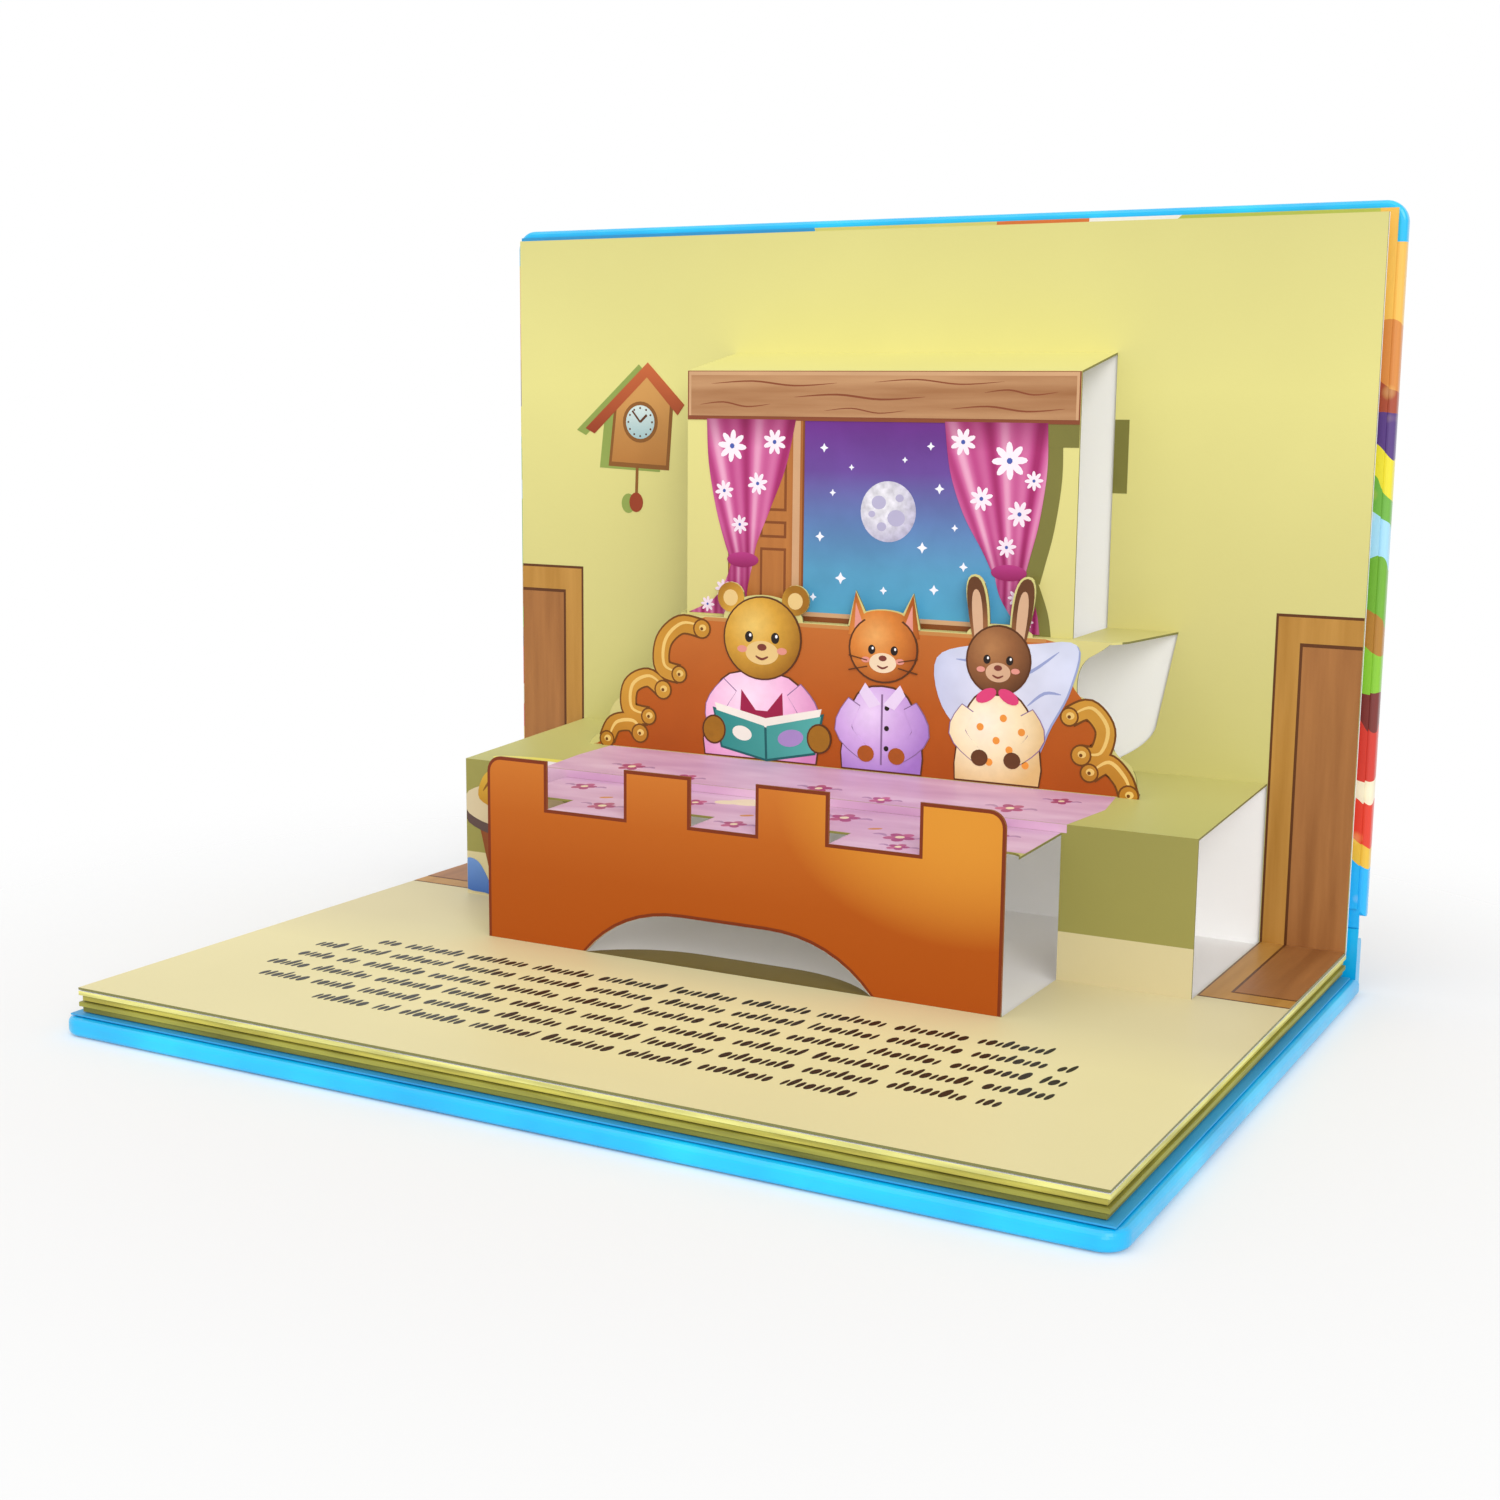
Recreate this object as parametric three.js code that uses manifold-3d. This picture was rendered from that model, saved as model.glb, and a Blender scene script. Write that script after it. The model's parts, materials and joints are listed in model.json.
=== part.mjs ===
// A pop-up book, standing open on its first scene.
// One die-cut sheet of card, folded at the gutter, carries the whole scene: its folded boxes are
// a shelf, a bed, a headboard and a window. The rest is a case binding of padded boards.
//
// Millimetres. X runs along the spine, Y to the back, Z up. While the pieces are being shaped,
// the gutter fold is at Y 0, Z 0. The group then moves the book so that the middle of its
// underside is the origin.

import * as THREE from 'three';
import { mergeVertices } from 'three/addons/utils/BufferGeometryUtils.js';
import Module from 'manifold-3d';

// Leaves
const leafWidth = 280;
const leafLength = 203.6;
const cardThickness = 0.6;
const seatGap = 0.3;

// Shelf: the box across the gutter, which carries the bed and the headboard
const shelfRight = 115.5;
const shelfLeft = -115.5;
const shelfDepth = 67;
const shelfWallHeight = 46.4;
const shelfFrontHeight = 42.6;

// Bed: the box in front of the shelf
const bedRight = 78.5;
const bedLeft = -78.5;
const bedDepth = 107;
const bedBackHeight = 40.2;
const bedFrontHeight = 39.2;
const merlonRise = 13.6;
const merlonCorner = 4.5;
const merlonSpans = [[bedLeft, -58.3], [-33, -12], [7.9, 29.5], [55.2, bedRight]];
const archLeft = -45.6;
const archRight = 42.5;
const archRise = 13.7;
const archFlat = 26;
const archShoulder = 12;

// Headboard: the box between the wall and the shelf
const headboardRise = 88;
const headboardFrontRise = 87.5;
const headboardDepth = 33;
const headboardFootRight = 87.5;
const headboardFootLeft = -92;
const headboardWallRight = 87.8;
const headboardWallLeft = -66;

// Carved sides of the headboard on the unfolded card, as X and the distance below its fold.
// Each scroll swells towards its first place and ends at its second.
const rightNeck = [82.4, -5];
const rightScrolls = [
  [81, 0, 72.6, 4.6],
  [68.6, 8, 69.6, 15.4],
  [78.6, 18, 79.8, 26.4],
  [80.4, 31, 83.4, 32.4],
];
const rightFootSwell = [89, 35];
const leftScrolls = [
  [-90, 39, -84.6, 38.4],
  [-86, 28, -76.4, 25.6],
  [-77, 17, -65.4, 17],
  [-68.4, 4, -58, 0],
];
const leftNeckSwell = -8;

// Soft toys that stand up above the headboard's fold: heads as middle, width and rise, round
// ears as middle, height and radius, pointed ears as middle, width, height and lean, long ears
// as foot, tip, width and height
const toyHeads = [[-30, 27, 7.5], [10, 22, 5.4], [46, 20, 3.2]];
const roundEars = [[-41, 6.4, 4.6], [-19, 6.4, 4.6]];
const pointedEars = [[2.4, 8, 10.5, -1.6], [17.6, 8, 10.5, 1.6]];
const longEars = [[40.5, 38, 5, 17], [51.5, 54, 5, 17]];

// Window: the box between the wall and the headboard's top
const windowRight = 66.5;
const windowLeft = -58.4;
const windowWallHeight = 167;
const windowFrontHeight = 161.3;
const windowDepth = 29.5;

// Closed leaves under the scene
const closedLeafCount = 4;
const closedLeafThickness = 1.15;
const closedLeafSpacing = 0.35;
const closedLeafStagger = 0.7;
const leafEdgeDepth = 4;

// Case
const boardThickness = 4.8;
const boardOverhangSide = 4;
const boardOverhangFront = 3.5;
const boardCornerRadius = 6;
const boardEdgeRound = 1.6;
const liningThickness = 0.4;
const liningMargin = 2.2;
const coverSetback = 4.25;
const wrapThickness = 0.6;
const rearGrooveWidth = 7;
const spineTop = 3;
const topGrooveWidth = 7;
const hingeGap = 0.4;

// What follows from the sizes above
const leafRight = leafWidth / 2;
const leafLeft = -leafRight;
const foldOverlap = cardThickness / 2;
const closedLeafPitch = closedLeafThickness + closedLeafSpacing;
const blockTop = -cardThickness - seatGap;
const blockThickness = closedLeafCount * closedLeafPitch - closedLeafSpacing;
const blockBottom = blockTop - blockThickness;
const liningTop = blockBottom - seatGap;
const boardTop = liningTop - liningThickness - seatGap;
const tableLevel = boardTop - boardThickness;
const backingFace = cardThickness + seatGap;
const coverBack = coverSetback + boardThickness;
const boardRight = leafRight + boardOverhangSide;
const boardLeft = -boardRight;
const boardReach = leafLength + boardOverhangFront;
const coverFoot = spineTop + topGrooveWidth;
const coverHingeLevel = spineTop + topGrooveWidth / 2;
const boardRear = coverBack - rearGrooveWidth;

const wasm = await Module();
wasm.setup();

const alongX = new THREE.Vector3(1, 0, 0);
const alongY = new THREE.Vector3(0, 1, 0);
const alongZ = new THREE.Vector3(0, 0, 1);

function toSolid(geometry) {
  const bare = geometry.clone();
  bare.deleteAttribute('normal');
  bare.deleteAttribute('uv');
  const merged = mergeVertices(bare, 1e-4);
  return new wasm.Manifold(new wasm.Mesh({
    numProp: 3,
    vertProperties: new Float32Array(merged.attributes.position.array),
    triVerts: new Uint32Array(merged.index.array),
  }));
}

function toGeometry(solid) {
  const mesh = solid.getMesh();
  const geometry = new THREE.BufferGeometry();
  geometry.setAttribute('position', new THREE.BufferAttribute(mesh.vertProperties, 3));
  geometry.setIndex(new THREE.BufferAttribute(mesh.triVerts, 1));
  geometry.computeVertexNormals();
  return geometry;
}

function block(x0, x1, y0, y1, z0, z1) {
  const geometry = new THREE.BoxGeometry(x1 - x0, y1 - y0, z1 - z0);
  geometry.translate((x0 + x1) / 2, (y0 + y1) / 2, (z0 + z1) / 2);
  return toSolid(geometry);
}

function rectangle(x0, x1, s0, s1) {
  const shape = new THREE.Shape();
  shape.moveTo(x0, s0);
  shape.lineTo(x1, s0);
  shape.lineTo(x1, s1);
  shape.lineTo(x0, s1);
  shape.closePath();
  return shape;
}

// A fold path lists [y, z] points on the printed face, from the strip's upper fold to its foot.
// A flat outline is drawn on the unfolded card: x across the book, s down the strip.
function foldPanels(path) {
  const panels = [];
  let start = 0;
  for (let k = 0; k < path.length - 1; k += 1) {
    const from = new THREE.Vector3(0, path[k][0], path[k][1]);
    const along = new THREE.Vector3(0, path[k + 1][0], path[k + 1][1]).sub(from);
    const length = along.length();
    panels.push({ from, direction: along.normalize(), start, end: start + length });
    start += length;
  }
  return panels;
}

// Stands one flat plate on its panel, its printed side outward and its thickness behind. The
// thickness runs straight back or straight down, so that the cut ends of a panel that slopes
// a little still lie flush with the upright panel beside it.
function placeOnPanel(plate, panel, behind) {
  const normal = new THREE.Vector3().crossVectors(alongX, panel.direction).round();
  const turn = new THREE.Matrix4().makeBasis(alongX, panel.direction, normal);
  const place = new THREE.Matrix4().makeTranslation(
    0,
    panel.from.y + normal.y * behind - panel.direction.y * panel.start,
    panel.from.z + normal.z * behind - panel.direction.z * panel.start,
  );
  return plate.transform(place.multiply(turn).elements);
}

function flatPlate(outline, thickness) {
  return toSolid(new THREE.ExtrudeGeometry(outline, {
    depth: thickness, bevelEnabled: false, curveSegments: 8,
  }));
}

// Folds a flat outline along a path. The first and last panel run on past their fold by half
// the thickness of the card, so that the strip grows out of the sheet that carries it. At the
// crease between them, the lower panel starts within the thickness of the upper one.
// Upstands are cut free of the panel above a fold and stand up in the plane of the one below it.
function foldedStrip(outline, path, upstands = []) {
  const panels = foldPanels(path);
  const plate = flatPlate(outline, cardThickness);
  let folded = null;
  panels.forEach((panel, k) => {
    const first = k === 0;
    const last = k === panels.length - 1;
    const start = panel.start + (first ? -foldOverlap : foldOverlap);
    const end = panel.end + (last ? foldOverlap : 0);
    const reach = leafWidth;
    let piece = plate.intersect(block(-reach, reach, start, end, -1, cardThickness + 1));
    for (const upstand of upstands) {
      const standing = flatPlate(upstand, cardThickness);
      const window = flatPlate(upstand, cardThickness * 3).translate(0, 0, -cardThickness);
      piece = last ? piece.add(standing) : piece.subtract(window);
    }
    const placed = placeOnPanel(piece, panel, 0);
    folded = folded ? folded.add(placed) : placed;
  });
  return folded;
}

// The hole that a strip leaves in the sheet behind it. It stops half a card short of both folds.
function stripHole(outline, path) {
  const panels = foldPanels(path);
  const cutDepth = cardThickness * 3;
  const plate = flatPlate(outline, cutDepth);
  let hole = null;
  panels.forEach((panel, k) => {
    const start = k === 0 ? foldOverlap : panel.start - cutDepth / 2;
    const end = k === panels.length - 1 ? panel.end - foldOverlap : panel.end + cutDepth / 2;
    const run = plate.intersect(block(-leafWidth, leafWidth, start, end, -1, cutDepth + 1));
    const placed = placeOnPanel(run, panel, -cardThickness);
    hole = hole ? hole.add(placed) : placed;
  });
  return hole;
}

function pathLength(path) {
  return foldPanels(path).at(-1).end;
}

// Height of a shelf's printed face at a given depth in front of the wall
function heightOnShelf(wallHeight, frontHeight, frontDepth, depth) {
  return wallHeight + (frontHeight - wallHeight) * (depth / frontDepth);
}

function leafSheet() {
  const wall = block(leafLeft, leafRight, 0, cardThickness, -cardThickness, leafLength);
  const floor = block(leafLeft, leafRight, -leafLength, cardThickness / 2, -cardThickness, 0);
  return wall.add(floor);
}

function addShelf(sheet) {
  const holePath = [[0, shelfWallHeight], [0, 0], [-shelfDepth, 0]];
  const path = [[0, shelfWallHeight], [-shelfDepth, shelfFrontHeight], [-shelfDepth, 0]];
  const span = rectangle(shelfLeft, shelfRight, -cardThickness, leafLength);
  return sheet.subtract(stripHole(span, holePath)).add(foldedStrip(span, path));
}

function merlonOutline([left, right], crease) {
  const top = crease - merlonRise;
  const roundLeft = left === bedLeft;
  const roundRight = right === bedRight;
  const shape = new THREE.Shape();
  shape.moveTo(left, crease);
  if (roundLeft) {
    shape.lineTo(left, top + merlonCorner);
    shape.absarc(left + merlonCorner, top + merlonCorner, merlonCorner, Math.PI, Math.PI * 1.5);
  } else {
    shape.lineTo(left, top);
  }
  if (roundRight) {
    shape.lineTo(right - merlonCorner, top);
    shape.absarc(right - merlonCorner, top + merlonCorner, merlonCorner, -Math.PI / 2, 0);
  } else {
    shape.lineTo(right, top);
  }
  shape.lineTo(right, crease + cardThickness);
  shape.lineTo(left, crease + cardThickness);
  shape.closePath();
  return shape;
}

// The arch is cut free of the footboard and stays flat, as a tongue on the floor leaf.
function archOutline(foot, past) {
  const middle = (archLeft + archRight) / 2;
  const top = foot - archRise;
  const shape = new THREE.Shape();
  shape.moveTo(archLeft, foot + past);
  shape.lineTo(archLeft, foot);
  shape.quadraticCurveTo(archLeft + archShoulder, top, middle - archFlat / 2, top);
  shape.lineTo(middle + archFlat / 2, top);
  shape.quadraticCurveTo(archRight - archShoulder, top, archRight, foot);
  shape.lineTo(archRight, foot + past);
  shape.closePath();
  return shape;
}

function addBed(sheet) {
  const holePath = [[-shelfDepth, bedBackHeight], [-shelfDepth, 0], [-bedDepth, 0]];
  const path = [[-shelfDepth, bedBackHeight], [-bedDepth, bedFrontHeight], [-bedDepth, 0]];
  const crease = foldPanels(path)[1].start;
  const foot = pathLength(path);
  const span = rectangle(bedLeft, bedRight, -cardThickness, foot + cardThickness);
  const merlons = merlonSpans.map((merlon) => merlonOutline(merlon, crease));
  const arch = flatPlate(archOutline(foot, 2 * cardThickness), 4 * cardThickness)
    .translate(0, 0, -2 * cardThickness);
  const archOnFrontPanel = placeOnPanel(arch, foldPanels(path)[1], 0);
  const holeFoot = pathLength(holePath);
  const holeSpan = rectangle(bedLeft, bedRight, -cardThickness, holeFoot + cardThickness);
  const tongue = placeOnPanel(
    flatPlate(archOutline(holeFoot, cardThickness), 4 * cardThickness)
      .translate(0, 0, -2 * cardThickness),
    foldPanels(holePath)[1],
    0,
  );
  const hole = stripHole(holeSpan, holePath).subtract(tongue);
  const strip = foldedStrip(span, path, merlons)
    .subtract(archOnFrontPanel)
    .add(placeOnPanel(
      flatPlate(archOutline(holeFoot, cardThickness), cardThickness),
      foldPanels(holePath)[1],
      0,
    ));
  return sheet.subtract(hole).add(strip);
}

function addScroll(shape, crease, [swellX, swellBelow, endX, endBelow]) {
  shape.quadraticCurveTo(swellX, crease + swellBelow, endX, crease + endBelow);
}

// The headboard's sides on the unfolded card, from the wall fold down to its foot
function headboardOutline(crease, foot) {
  const shape = new THREE.Shape();
  shape.moveTo(headboardWallLeft, -cardThickness);
  shape.lineTo(headboardWallRight, -cardThickness);
  shape.lineTo(headboardWallRight, 0);
  shape.lineTo(rightNeck[0], crease + rightNeck[1]);
  rightScrolls.forEach((scroll) => addScroll(shape, crease, scroll));
  shape.quadraticCurveTo(
    rightFootSwell[0],
    crease + rightFootSwell[1],
    headboardFootRight,
    foot,
  );
  shape.lineTo(headboardFootRight, foot + cardThickness);
  shape.lineTo(headboardFootLeft, foot + cardThickness);
  shape.lineTo(headboardFootLeft, foot);
  leftScrolls.forEach((scroll) => addScroll(shape, crease, scroll));
  shape.quadraticCurveTo(headboardWallLeft, crease + leftNeckSwell, headboardWallLeft, 0);
  shape.closePath();
  return shape;
}

function toyHead([middle, width, rise], crease) {
  const shape = new THREE.Shape();
  shape.moveTo(middle - width / 2, crease + cardThickness);
  shape.lineTo(middle - width / 2, crease);
  shape.absellipse(middle, crease, width / 2, rise, Math.PI, Math.PI * 2);
  shape.lineTo(middle + width / 2, crease + cardThickness);
  shape.closePath();
  return shape;
}

function roundEar([middle, height, radius], crease) {
  const shape = new THREE.Shape();
  shape.absarc(middle, crease - height, radius, 0, Math.PI * 2);
  return shape;
}

function longEar([foot, tip, width, height], crease) {
  const shape = new THREE.Shape();
  shape.moveTo(foot - width / 2, crease);
  shape.quadraticCurveTo(tip - width, crease - height, tip, crease - height);
  shape.quadraticCurveTo(tip + width, crease - height, foot + width / 2, crease);
  shape.closePath();
  return shape;
}

function pointedEar([middle, width, height, lean], crease) {
  const shape = new THREE.Shape();
  shape.moveTo(middle - width / 2, crease);
  shape.lineTo(middle + lean, crease - height);
  shape.lineTo(middle + width / 2, crease);
  shape.closePath();
  return shape;
}

function toyUpstands(crease) {
  return [
    ...toyHeads.map((head) => toyHead(head, crease)),
    ...roundEars.map((ear) => roundEar(ear, crease)),
    ...pointedEars.map((ear) => pointedEar(ear, crease)),
    ...longEars.map((ear) => longEar(ear, crease)),
  ];
}

function addHeadboard(sheet) {
  const footHeight = heightOnShelf(
    shelfWallHeight,
    shelfFrontHeight,
    shelfDepth,
    headboardDepth,
  );
  const path = [
    [0, headboardRise],
    [-headboardDepth, headboardFrontRise],
    [-headboardDepth, footHeight],
  ];
  const holePath = [
    [0, headboardRise],
    [0, shelfWallHeight],
    [-headboardDepth, footHeight],
  ];
  const crease = foldPanels(path)[1].start;
  const outline = headboardOutline(crease, pathLength(path));
  return sheet.subtract(stripHole(outline, holePath))
    .add(foldedStrip(outline, path, toyUpstands(crease)));
}

function addWindow(sheet) {
  const footHeight = heightOnShelf(
    headboardRise,
    headboardFrontRise,
    headboardDepth,
    windowDepth,
  );
  const path = [
    [0, windowWallHeight],
    [-windowDepth, windowFrontHeight],
    [-windowDepth, footHeight],
  ];
  const holePath = [
    [0, windowWallHeight],
    [0, headboardRise],
    [-windowDepth, footHeight],
  ];
  const span = rectangle(windowLeft, windowRight, -cardThickness, leafLength);
  return sheet.subtract(stripHole(span, holePath)).add(foldedStrip(span, path));
}

function popupSheet() {
  return addWindow(addHeadboard(addBed(addShelf(leafSheet()))));
}

// The white back of the leaf that stands behind the scene's wall
function standingLeaf() {
  return block(
    leafLeft,
    leafRight,
    backingFace,
    backingFace + cardThickness,
    0,
    leafLength,
  );
}

// The leaves still closed under the scene, one solid whose edges show each leaf
function closedLeaves() {
  const rear = backingFace + cardThickness;
  let leaves = block(
    leafLeft + leafEdgeDepth,
    leafRight - leafEdgeDepth,
    -leafLength + leafEdgeDepth,
    rear,
    blockBottom,
    blockTop,
  );
  for (let k = 0; k < closedLeafCount; k += 1) {
    const top = blockTop - k * closedLeafPitch;
    const stagger = (k % 2) * closedLeafStagger;
    const leaf = block(
      leafLeft + stagger,
      leafRight - stagger,
      -leafLength + stagger,
      rear,
      top - closedLeafThickness,
      top,
    );
    leaves = leaves.add(leaf);
  }
  return leaves;
}

// A padded board lying flat: square at the spine side, rounded at the two free corners
function boardOutline(x0, x1, spineSide, freeSide) {
  const r = boardCornerRadius - boardEdgeRound;
  const left = x0 + boardEdgeRound;
  const right = x1 - boardEdgeRound;
  const near = spineSide - boardEdgeRound;
  const far = freeSide + boardEdgeRound;
  const shape = new THREE.Shape();
  shape.moveTo(left, near);
  shape.lineTo(left, far + r);
  shape.absarc(left + r, far + r, r, Math.PI, Math.PI * 1.5);
  shape.lineTo(right - r, far);
  shape.absarc(right - r, far + r, r, Math.PI * 1.5, Math.PI * 2);
  shape.lineTo(right, near);
  shape.closePath();
  return shape;
}

function paddedBoard(spineSide, freeSide) {
  const geometry = new THREE.ExtrudeGeometry(boardOutline(boardLeft, boardRight, spineSide, freeSide), {
    depth: boardThickness - 2 * boardEdgeRound,
    bevelEnabled: true,
    bevelThickness: boardEdgeRound,
    bevelSize: boardEdgeRound,
    bevelSegments: 4,
    curveSegments: 6,
  });
  geometry.translate(0, 0, boardEdgeRound);
  return toSolid(geometry);
}

// Turns a board that lies with its face up into one that stands with its face to the front
function standUp(solid) {
  const turn = new THREE.Matrix4().makeBasis(alongX, alongZ.clone().negate(), alongY);
  return solid.transform(turn.elements);
}

function lyingCover() {
  const board = paddedBoard(boardRear, -boardReach).translate(0, 0, tableLevel);
  const wrap = block(
    boardLeft + boardEdgeRound,
    boardRight - boardEdgeRound,
    boardRear - boardThickness,
    coverBack - hingeGap,
    tableLevel,
    tableLevel + wrapThickness,
  );
  return board.add(wrap);
}

function spineBoard() {
  const width = boardRight - boardLeft - 2 * boardEdgeRound;
  const foot = tableLevel + wrapThickness + seatGap;
  const section = new THREE.Shape();
  const r = boardEdgeRound;
  section.moveTo(coverSetback, foot);
  section.lineTo(coverBack, foot);
  section.lineTo(coverBack, spineTop - r);
  section.absarc(coverBack - r, spineTop - r, r, 0, Math.PI / 2);
  section.lineTo(coverSetback + wrapThickness, spineTop);
  section.lineTo(coverSetback + wrapThickness, coverHingeLevel - hingeGap / 2);
  section.lineTo(coverSetback, coverHingeLevel - hingeGap / 2);
  section.closePath();
  const geometry = new THREE.ExtrudeGeometry(section, {
    depth: width, bevelEnabled: false, curveSegments: 6,
  });
  const turn = new THREE.Matrix4().makeBasis(alongY, alongZ, alongX);
  turn.setPosition(-width / 2, 0, 0);
  geometry.applyMatrix4(turn);
  return toSolid(geometry);
}

function standingCover() {
  const board = standUp(paddedBoard(-coverFoot, -boardReach)).translate(0, coverSetback, 0);
  const wrap = block(
    boardLeft + boardEdgeRound,
    boardRight - boardEdgeRound,
    coverSetback,
    coverSetback + wrapThickness,
    coverHingeLevel + hingeGap / 2,
    coverFoot + boardThickness,
  );
  return board.add(wrap);
}

function backLining() {
  return block(
    boardLeft + liningMargin,
    boardRight - liningMargin,
    -boardReach + liningMargin,
    boardRear - liningMargin,
    liningTop - liningThickness,
    liningTop,
  );
}

function frontLining() {
  return block(
    boardLeft + liningMargin,
    boardRight - liningMargin,
    coverSetback - seatGap - liningThickness,
    coverSetback - seatGap,
    coverFoot + liningMargin,
    boardReach - liningMargin,
  );
}

const coverMaterial = new THREE.MeshStandardMaterial({ color: '#1ac0f5', roughness: 0.35, metalness: 0 });
const cardMaterial = new THREE.MeshStandardMaterial({ color: '#dfd795', roughness: 0.45, metalness: 0 });
const whiteMaterial = new THREE.MeshStandardMaterial({ color: '#f1f0ef', roughness: 0.8, metalness: 0 });
const leafMaterial = new THREE.MeshStandardMaterial({ color: '#c9c25a', roughness: 0.7, metalness: 0 });
const liningMaterial = new THREE.MeshStandardMaterial({ color: '#2b97cc', roughness: 0.5, metalness: 0 });

const book = new THREE.Group();
const bottomCentreY = (coverBack - boardReach) / 2;
book.position.set(0, -bottomCentreY, -tableLevel);

function addPiece(name, solid, material) {
  const mesh = new THREE.Mesh(toGeometry(solid), material);
  mesh.name = name;
  book.add(mesh);
}

addPiece('back_cover', lyingCover(), coverMaterial);
addPiece('spine', spineBoard(), coverMaterial);
addPiece('front_cover', standingCover(), coverMaterial);
addPiece('back_lining', backLining(), liningMaterial);
addPiece('front_lining', frontLining(), liningMaterial);
addPiece('closed_leaves', closedLeaves(), leafMaterial);
addPiece('standing_leaf', standingLeaf(), whiteMaterial);
addPiece('popup_sheet', popupSheet(), cardMaterial);

export default book;
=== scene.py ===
# %% [markdown]
# # A pop-up book, standing open on its first scene
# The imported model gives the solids: the padded boards, the closed leaves and one folded, die-cut
# sheet of card. This lesson dresses them: the film of the cover, the edges of the leaves, and the
# print of the scene, which is laid on the card as very thin coloured shapes.

# %% Load the frame
import json
import math

import bmesh
import bpy
from mathutils import Matrix, Vector


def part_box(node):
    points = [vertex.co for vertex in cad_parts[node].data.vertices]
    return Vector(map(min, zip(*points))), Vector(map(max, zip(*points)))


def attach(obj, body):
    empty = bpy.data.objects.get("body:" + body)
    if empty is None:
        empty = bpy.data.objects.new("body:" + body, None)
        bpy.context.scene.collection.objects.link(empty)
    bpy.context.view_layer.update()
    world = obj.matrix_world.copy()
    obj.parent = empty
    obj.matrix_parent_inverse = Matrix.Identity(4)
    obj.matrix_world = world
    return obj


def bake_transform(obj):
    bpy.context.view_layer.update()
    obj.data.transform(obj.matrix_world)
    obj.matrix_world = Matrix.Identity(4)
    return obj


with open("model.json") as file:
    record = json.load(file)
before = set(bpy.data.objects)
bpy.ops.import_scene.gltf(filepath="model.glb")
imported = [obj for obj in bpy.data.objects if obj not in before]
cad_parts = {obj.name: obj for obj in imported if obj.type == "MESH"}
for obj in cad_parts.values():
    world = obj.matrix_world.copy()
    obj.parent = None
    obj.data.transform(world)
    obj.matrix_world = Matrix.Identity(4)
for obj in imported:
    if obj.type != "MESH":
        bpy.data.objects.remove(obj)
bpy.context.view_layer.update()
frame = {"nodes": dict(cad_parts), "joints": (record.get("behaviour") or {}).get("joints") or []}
nodes = frame["nodes"]
scene = bpy.context.scene
scene.view_settings.view_transform = "Standard"

# %% [markdown]
# ## Where things are
# The book was drawn with the fold of the gutter at zero. Here, as in the drawing of the part, the
# scene is measured in millimetres from that fold: x along the spine, y to the back, z up. One
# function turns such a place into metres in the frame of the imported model.

# %% The gutter fold, and millimetres to metres
MM = 0.001
CARD_THICKNESS = 0.6
sheet_low, sheet_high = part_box("popup_sheet")
GUTTER_Y = sheet_high.y / MM - CARD_THICKNESS
GUTTER_Z = sheet_low.z / MM + CARD_THICKNESS


def at(x, y, z):
    """A place measured in millimetres from the gutter fold, in metres in the frame."""
    return Vector((x, y + GUTTER_Y, z + GUTTER_Z)) * MM


def frame_y(y):
    return (y + GUTTER_Y) * MM


def frame_z(z):
    return (z + GUTTER_Z) * MM


print("gutter fold at", at(0, 0, 0))

# %% [markdown]
# ## The camera
# The picture of the book is taken from a little above the scene and well to its right, with a
# lens of nearly 50 mm. The camera's axes are given by the direction it looks in and by its right.

# %% Camera
CAMERA_LENS = 49.17
CAMERA_PLACE = (259.2, -574.0, 151.9)
CAMERA_FORWARD = Vector((-0.46977, 0.86680, -0.16724)).normalized()
CAMERA_RIGHT = Vector((0.87840, 0.47784, 0.00924)).normalized()
camera_data = bpy.data.cameras.new("camera")
camera_data.sensor_width = 36
camera_data.lens = CAMERA_LENS
camera_data.clip_start = 0.01
camera = bpy.data.objects.new("camera", camera_data)
camera_up = CAMERA_RIGHT.cross(CAMERA_FORWARD)
camera_right = CAMERA_FORWARD.cross(camera_up)
turn = Matrix((camera_right, camera_up, -CAMERA_FORWARD)).transposed().to_4x4()
camera.matrix_world = Matrix.Translation(at(*CAMERA_PLACE)) @ turn
scene.collection.objects.link(camera)
scene.camera = camera
print("camera at", camera.matrix_world.translation)

# %% [markdown]
# ## Panels
# The sheet is folded into flat panels. Upright panels are drawn on with x and z, and panels that
# lie or slope with x and y. Each shape of print is a thin solid that rests on its panel. A shape
# printed over another one is a little thicker, so that it shows on top, and shapes of one layer
# differ by a trace, so that no two of them share a surface where they overlap.

# %% Panels of the folded sheet
LAYER = 0.035
STEP_IN_LAYER = 0.0026
STEPS_IN_LAYER = 12
LIFT = 0.012
LEAF_LENGTH = 203.6
SHELF_DEPTH = 67
FOOT_DEPTH = 107


def upright(depth):
    return {"upright": True, "depth": depth}


def lying(back_y, back_z, front_y, front_z):
    return {"upright": False, "back": (back_y, back_z), "front": (front_y, front_z)}


WALL = upright(0)
WINDOW = upright(-29.5)
HEADBOARD = upright(-33)
SHELF_FRONT = upright(-SHELF_DEPTH)
FOOTBOARD = upright(-FOOT_DEPTH)
FLOOR = lying(0, 0, -LEAF_LENGTH, 0)
SHELF_TOP = lying(0, 46.4, -SHELF_DEPTH, 42.6)
BED_TOP = lying(-SHELF_DEPTH, 40.2, -FOOT_DEPTH, 39.2)


def on_panel(panel, u, v):
    """A point on a panel, lifted a trace off the card."""
    if panel["upright"]:
        return at(u, panel["depth"] - LIFT, v)
    (y0, z0), (y1, z1) = panel["back"], panel["front"]
    return at(u, v, z0 + (z1 - z0) * (v - y0) / (y1 - y0) + LIFT)


print("a corner of the shelf's top lies at", on_panel(SHELF_TOP, 0, 0))

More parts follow.
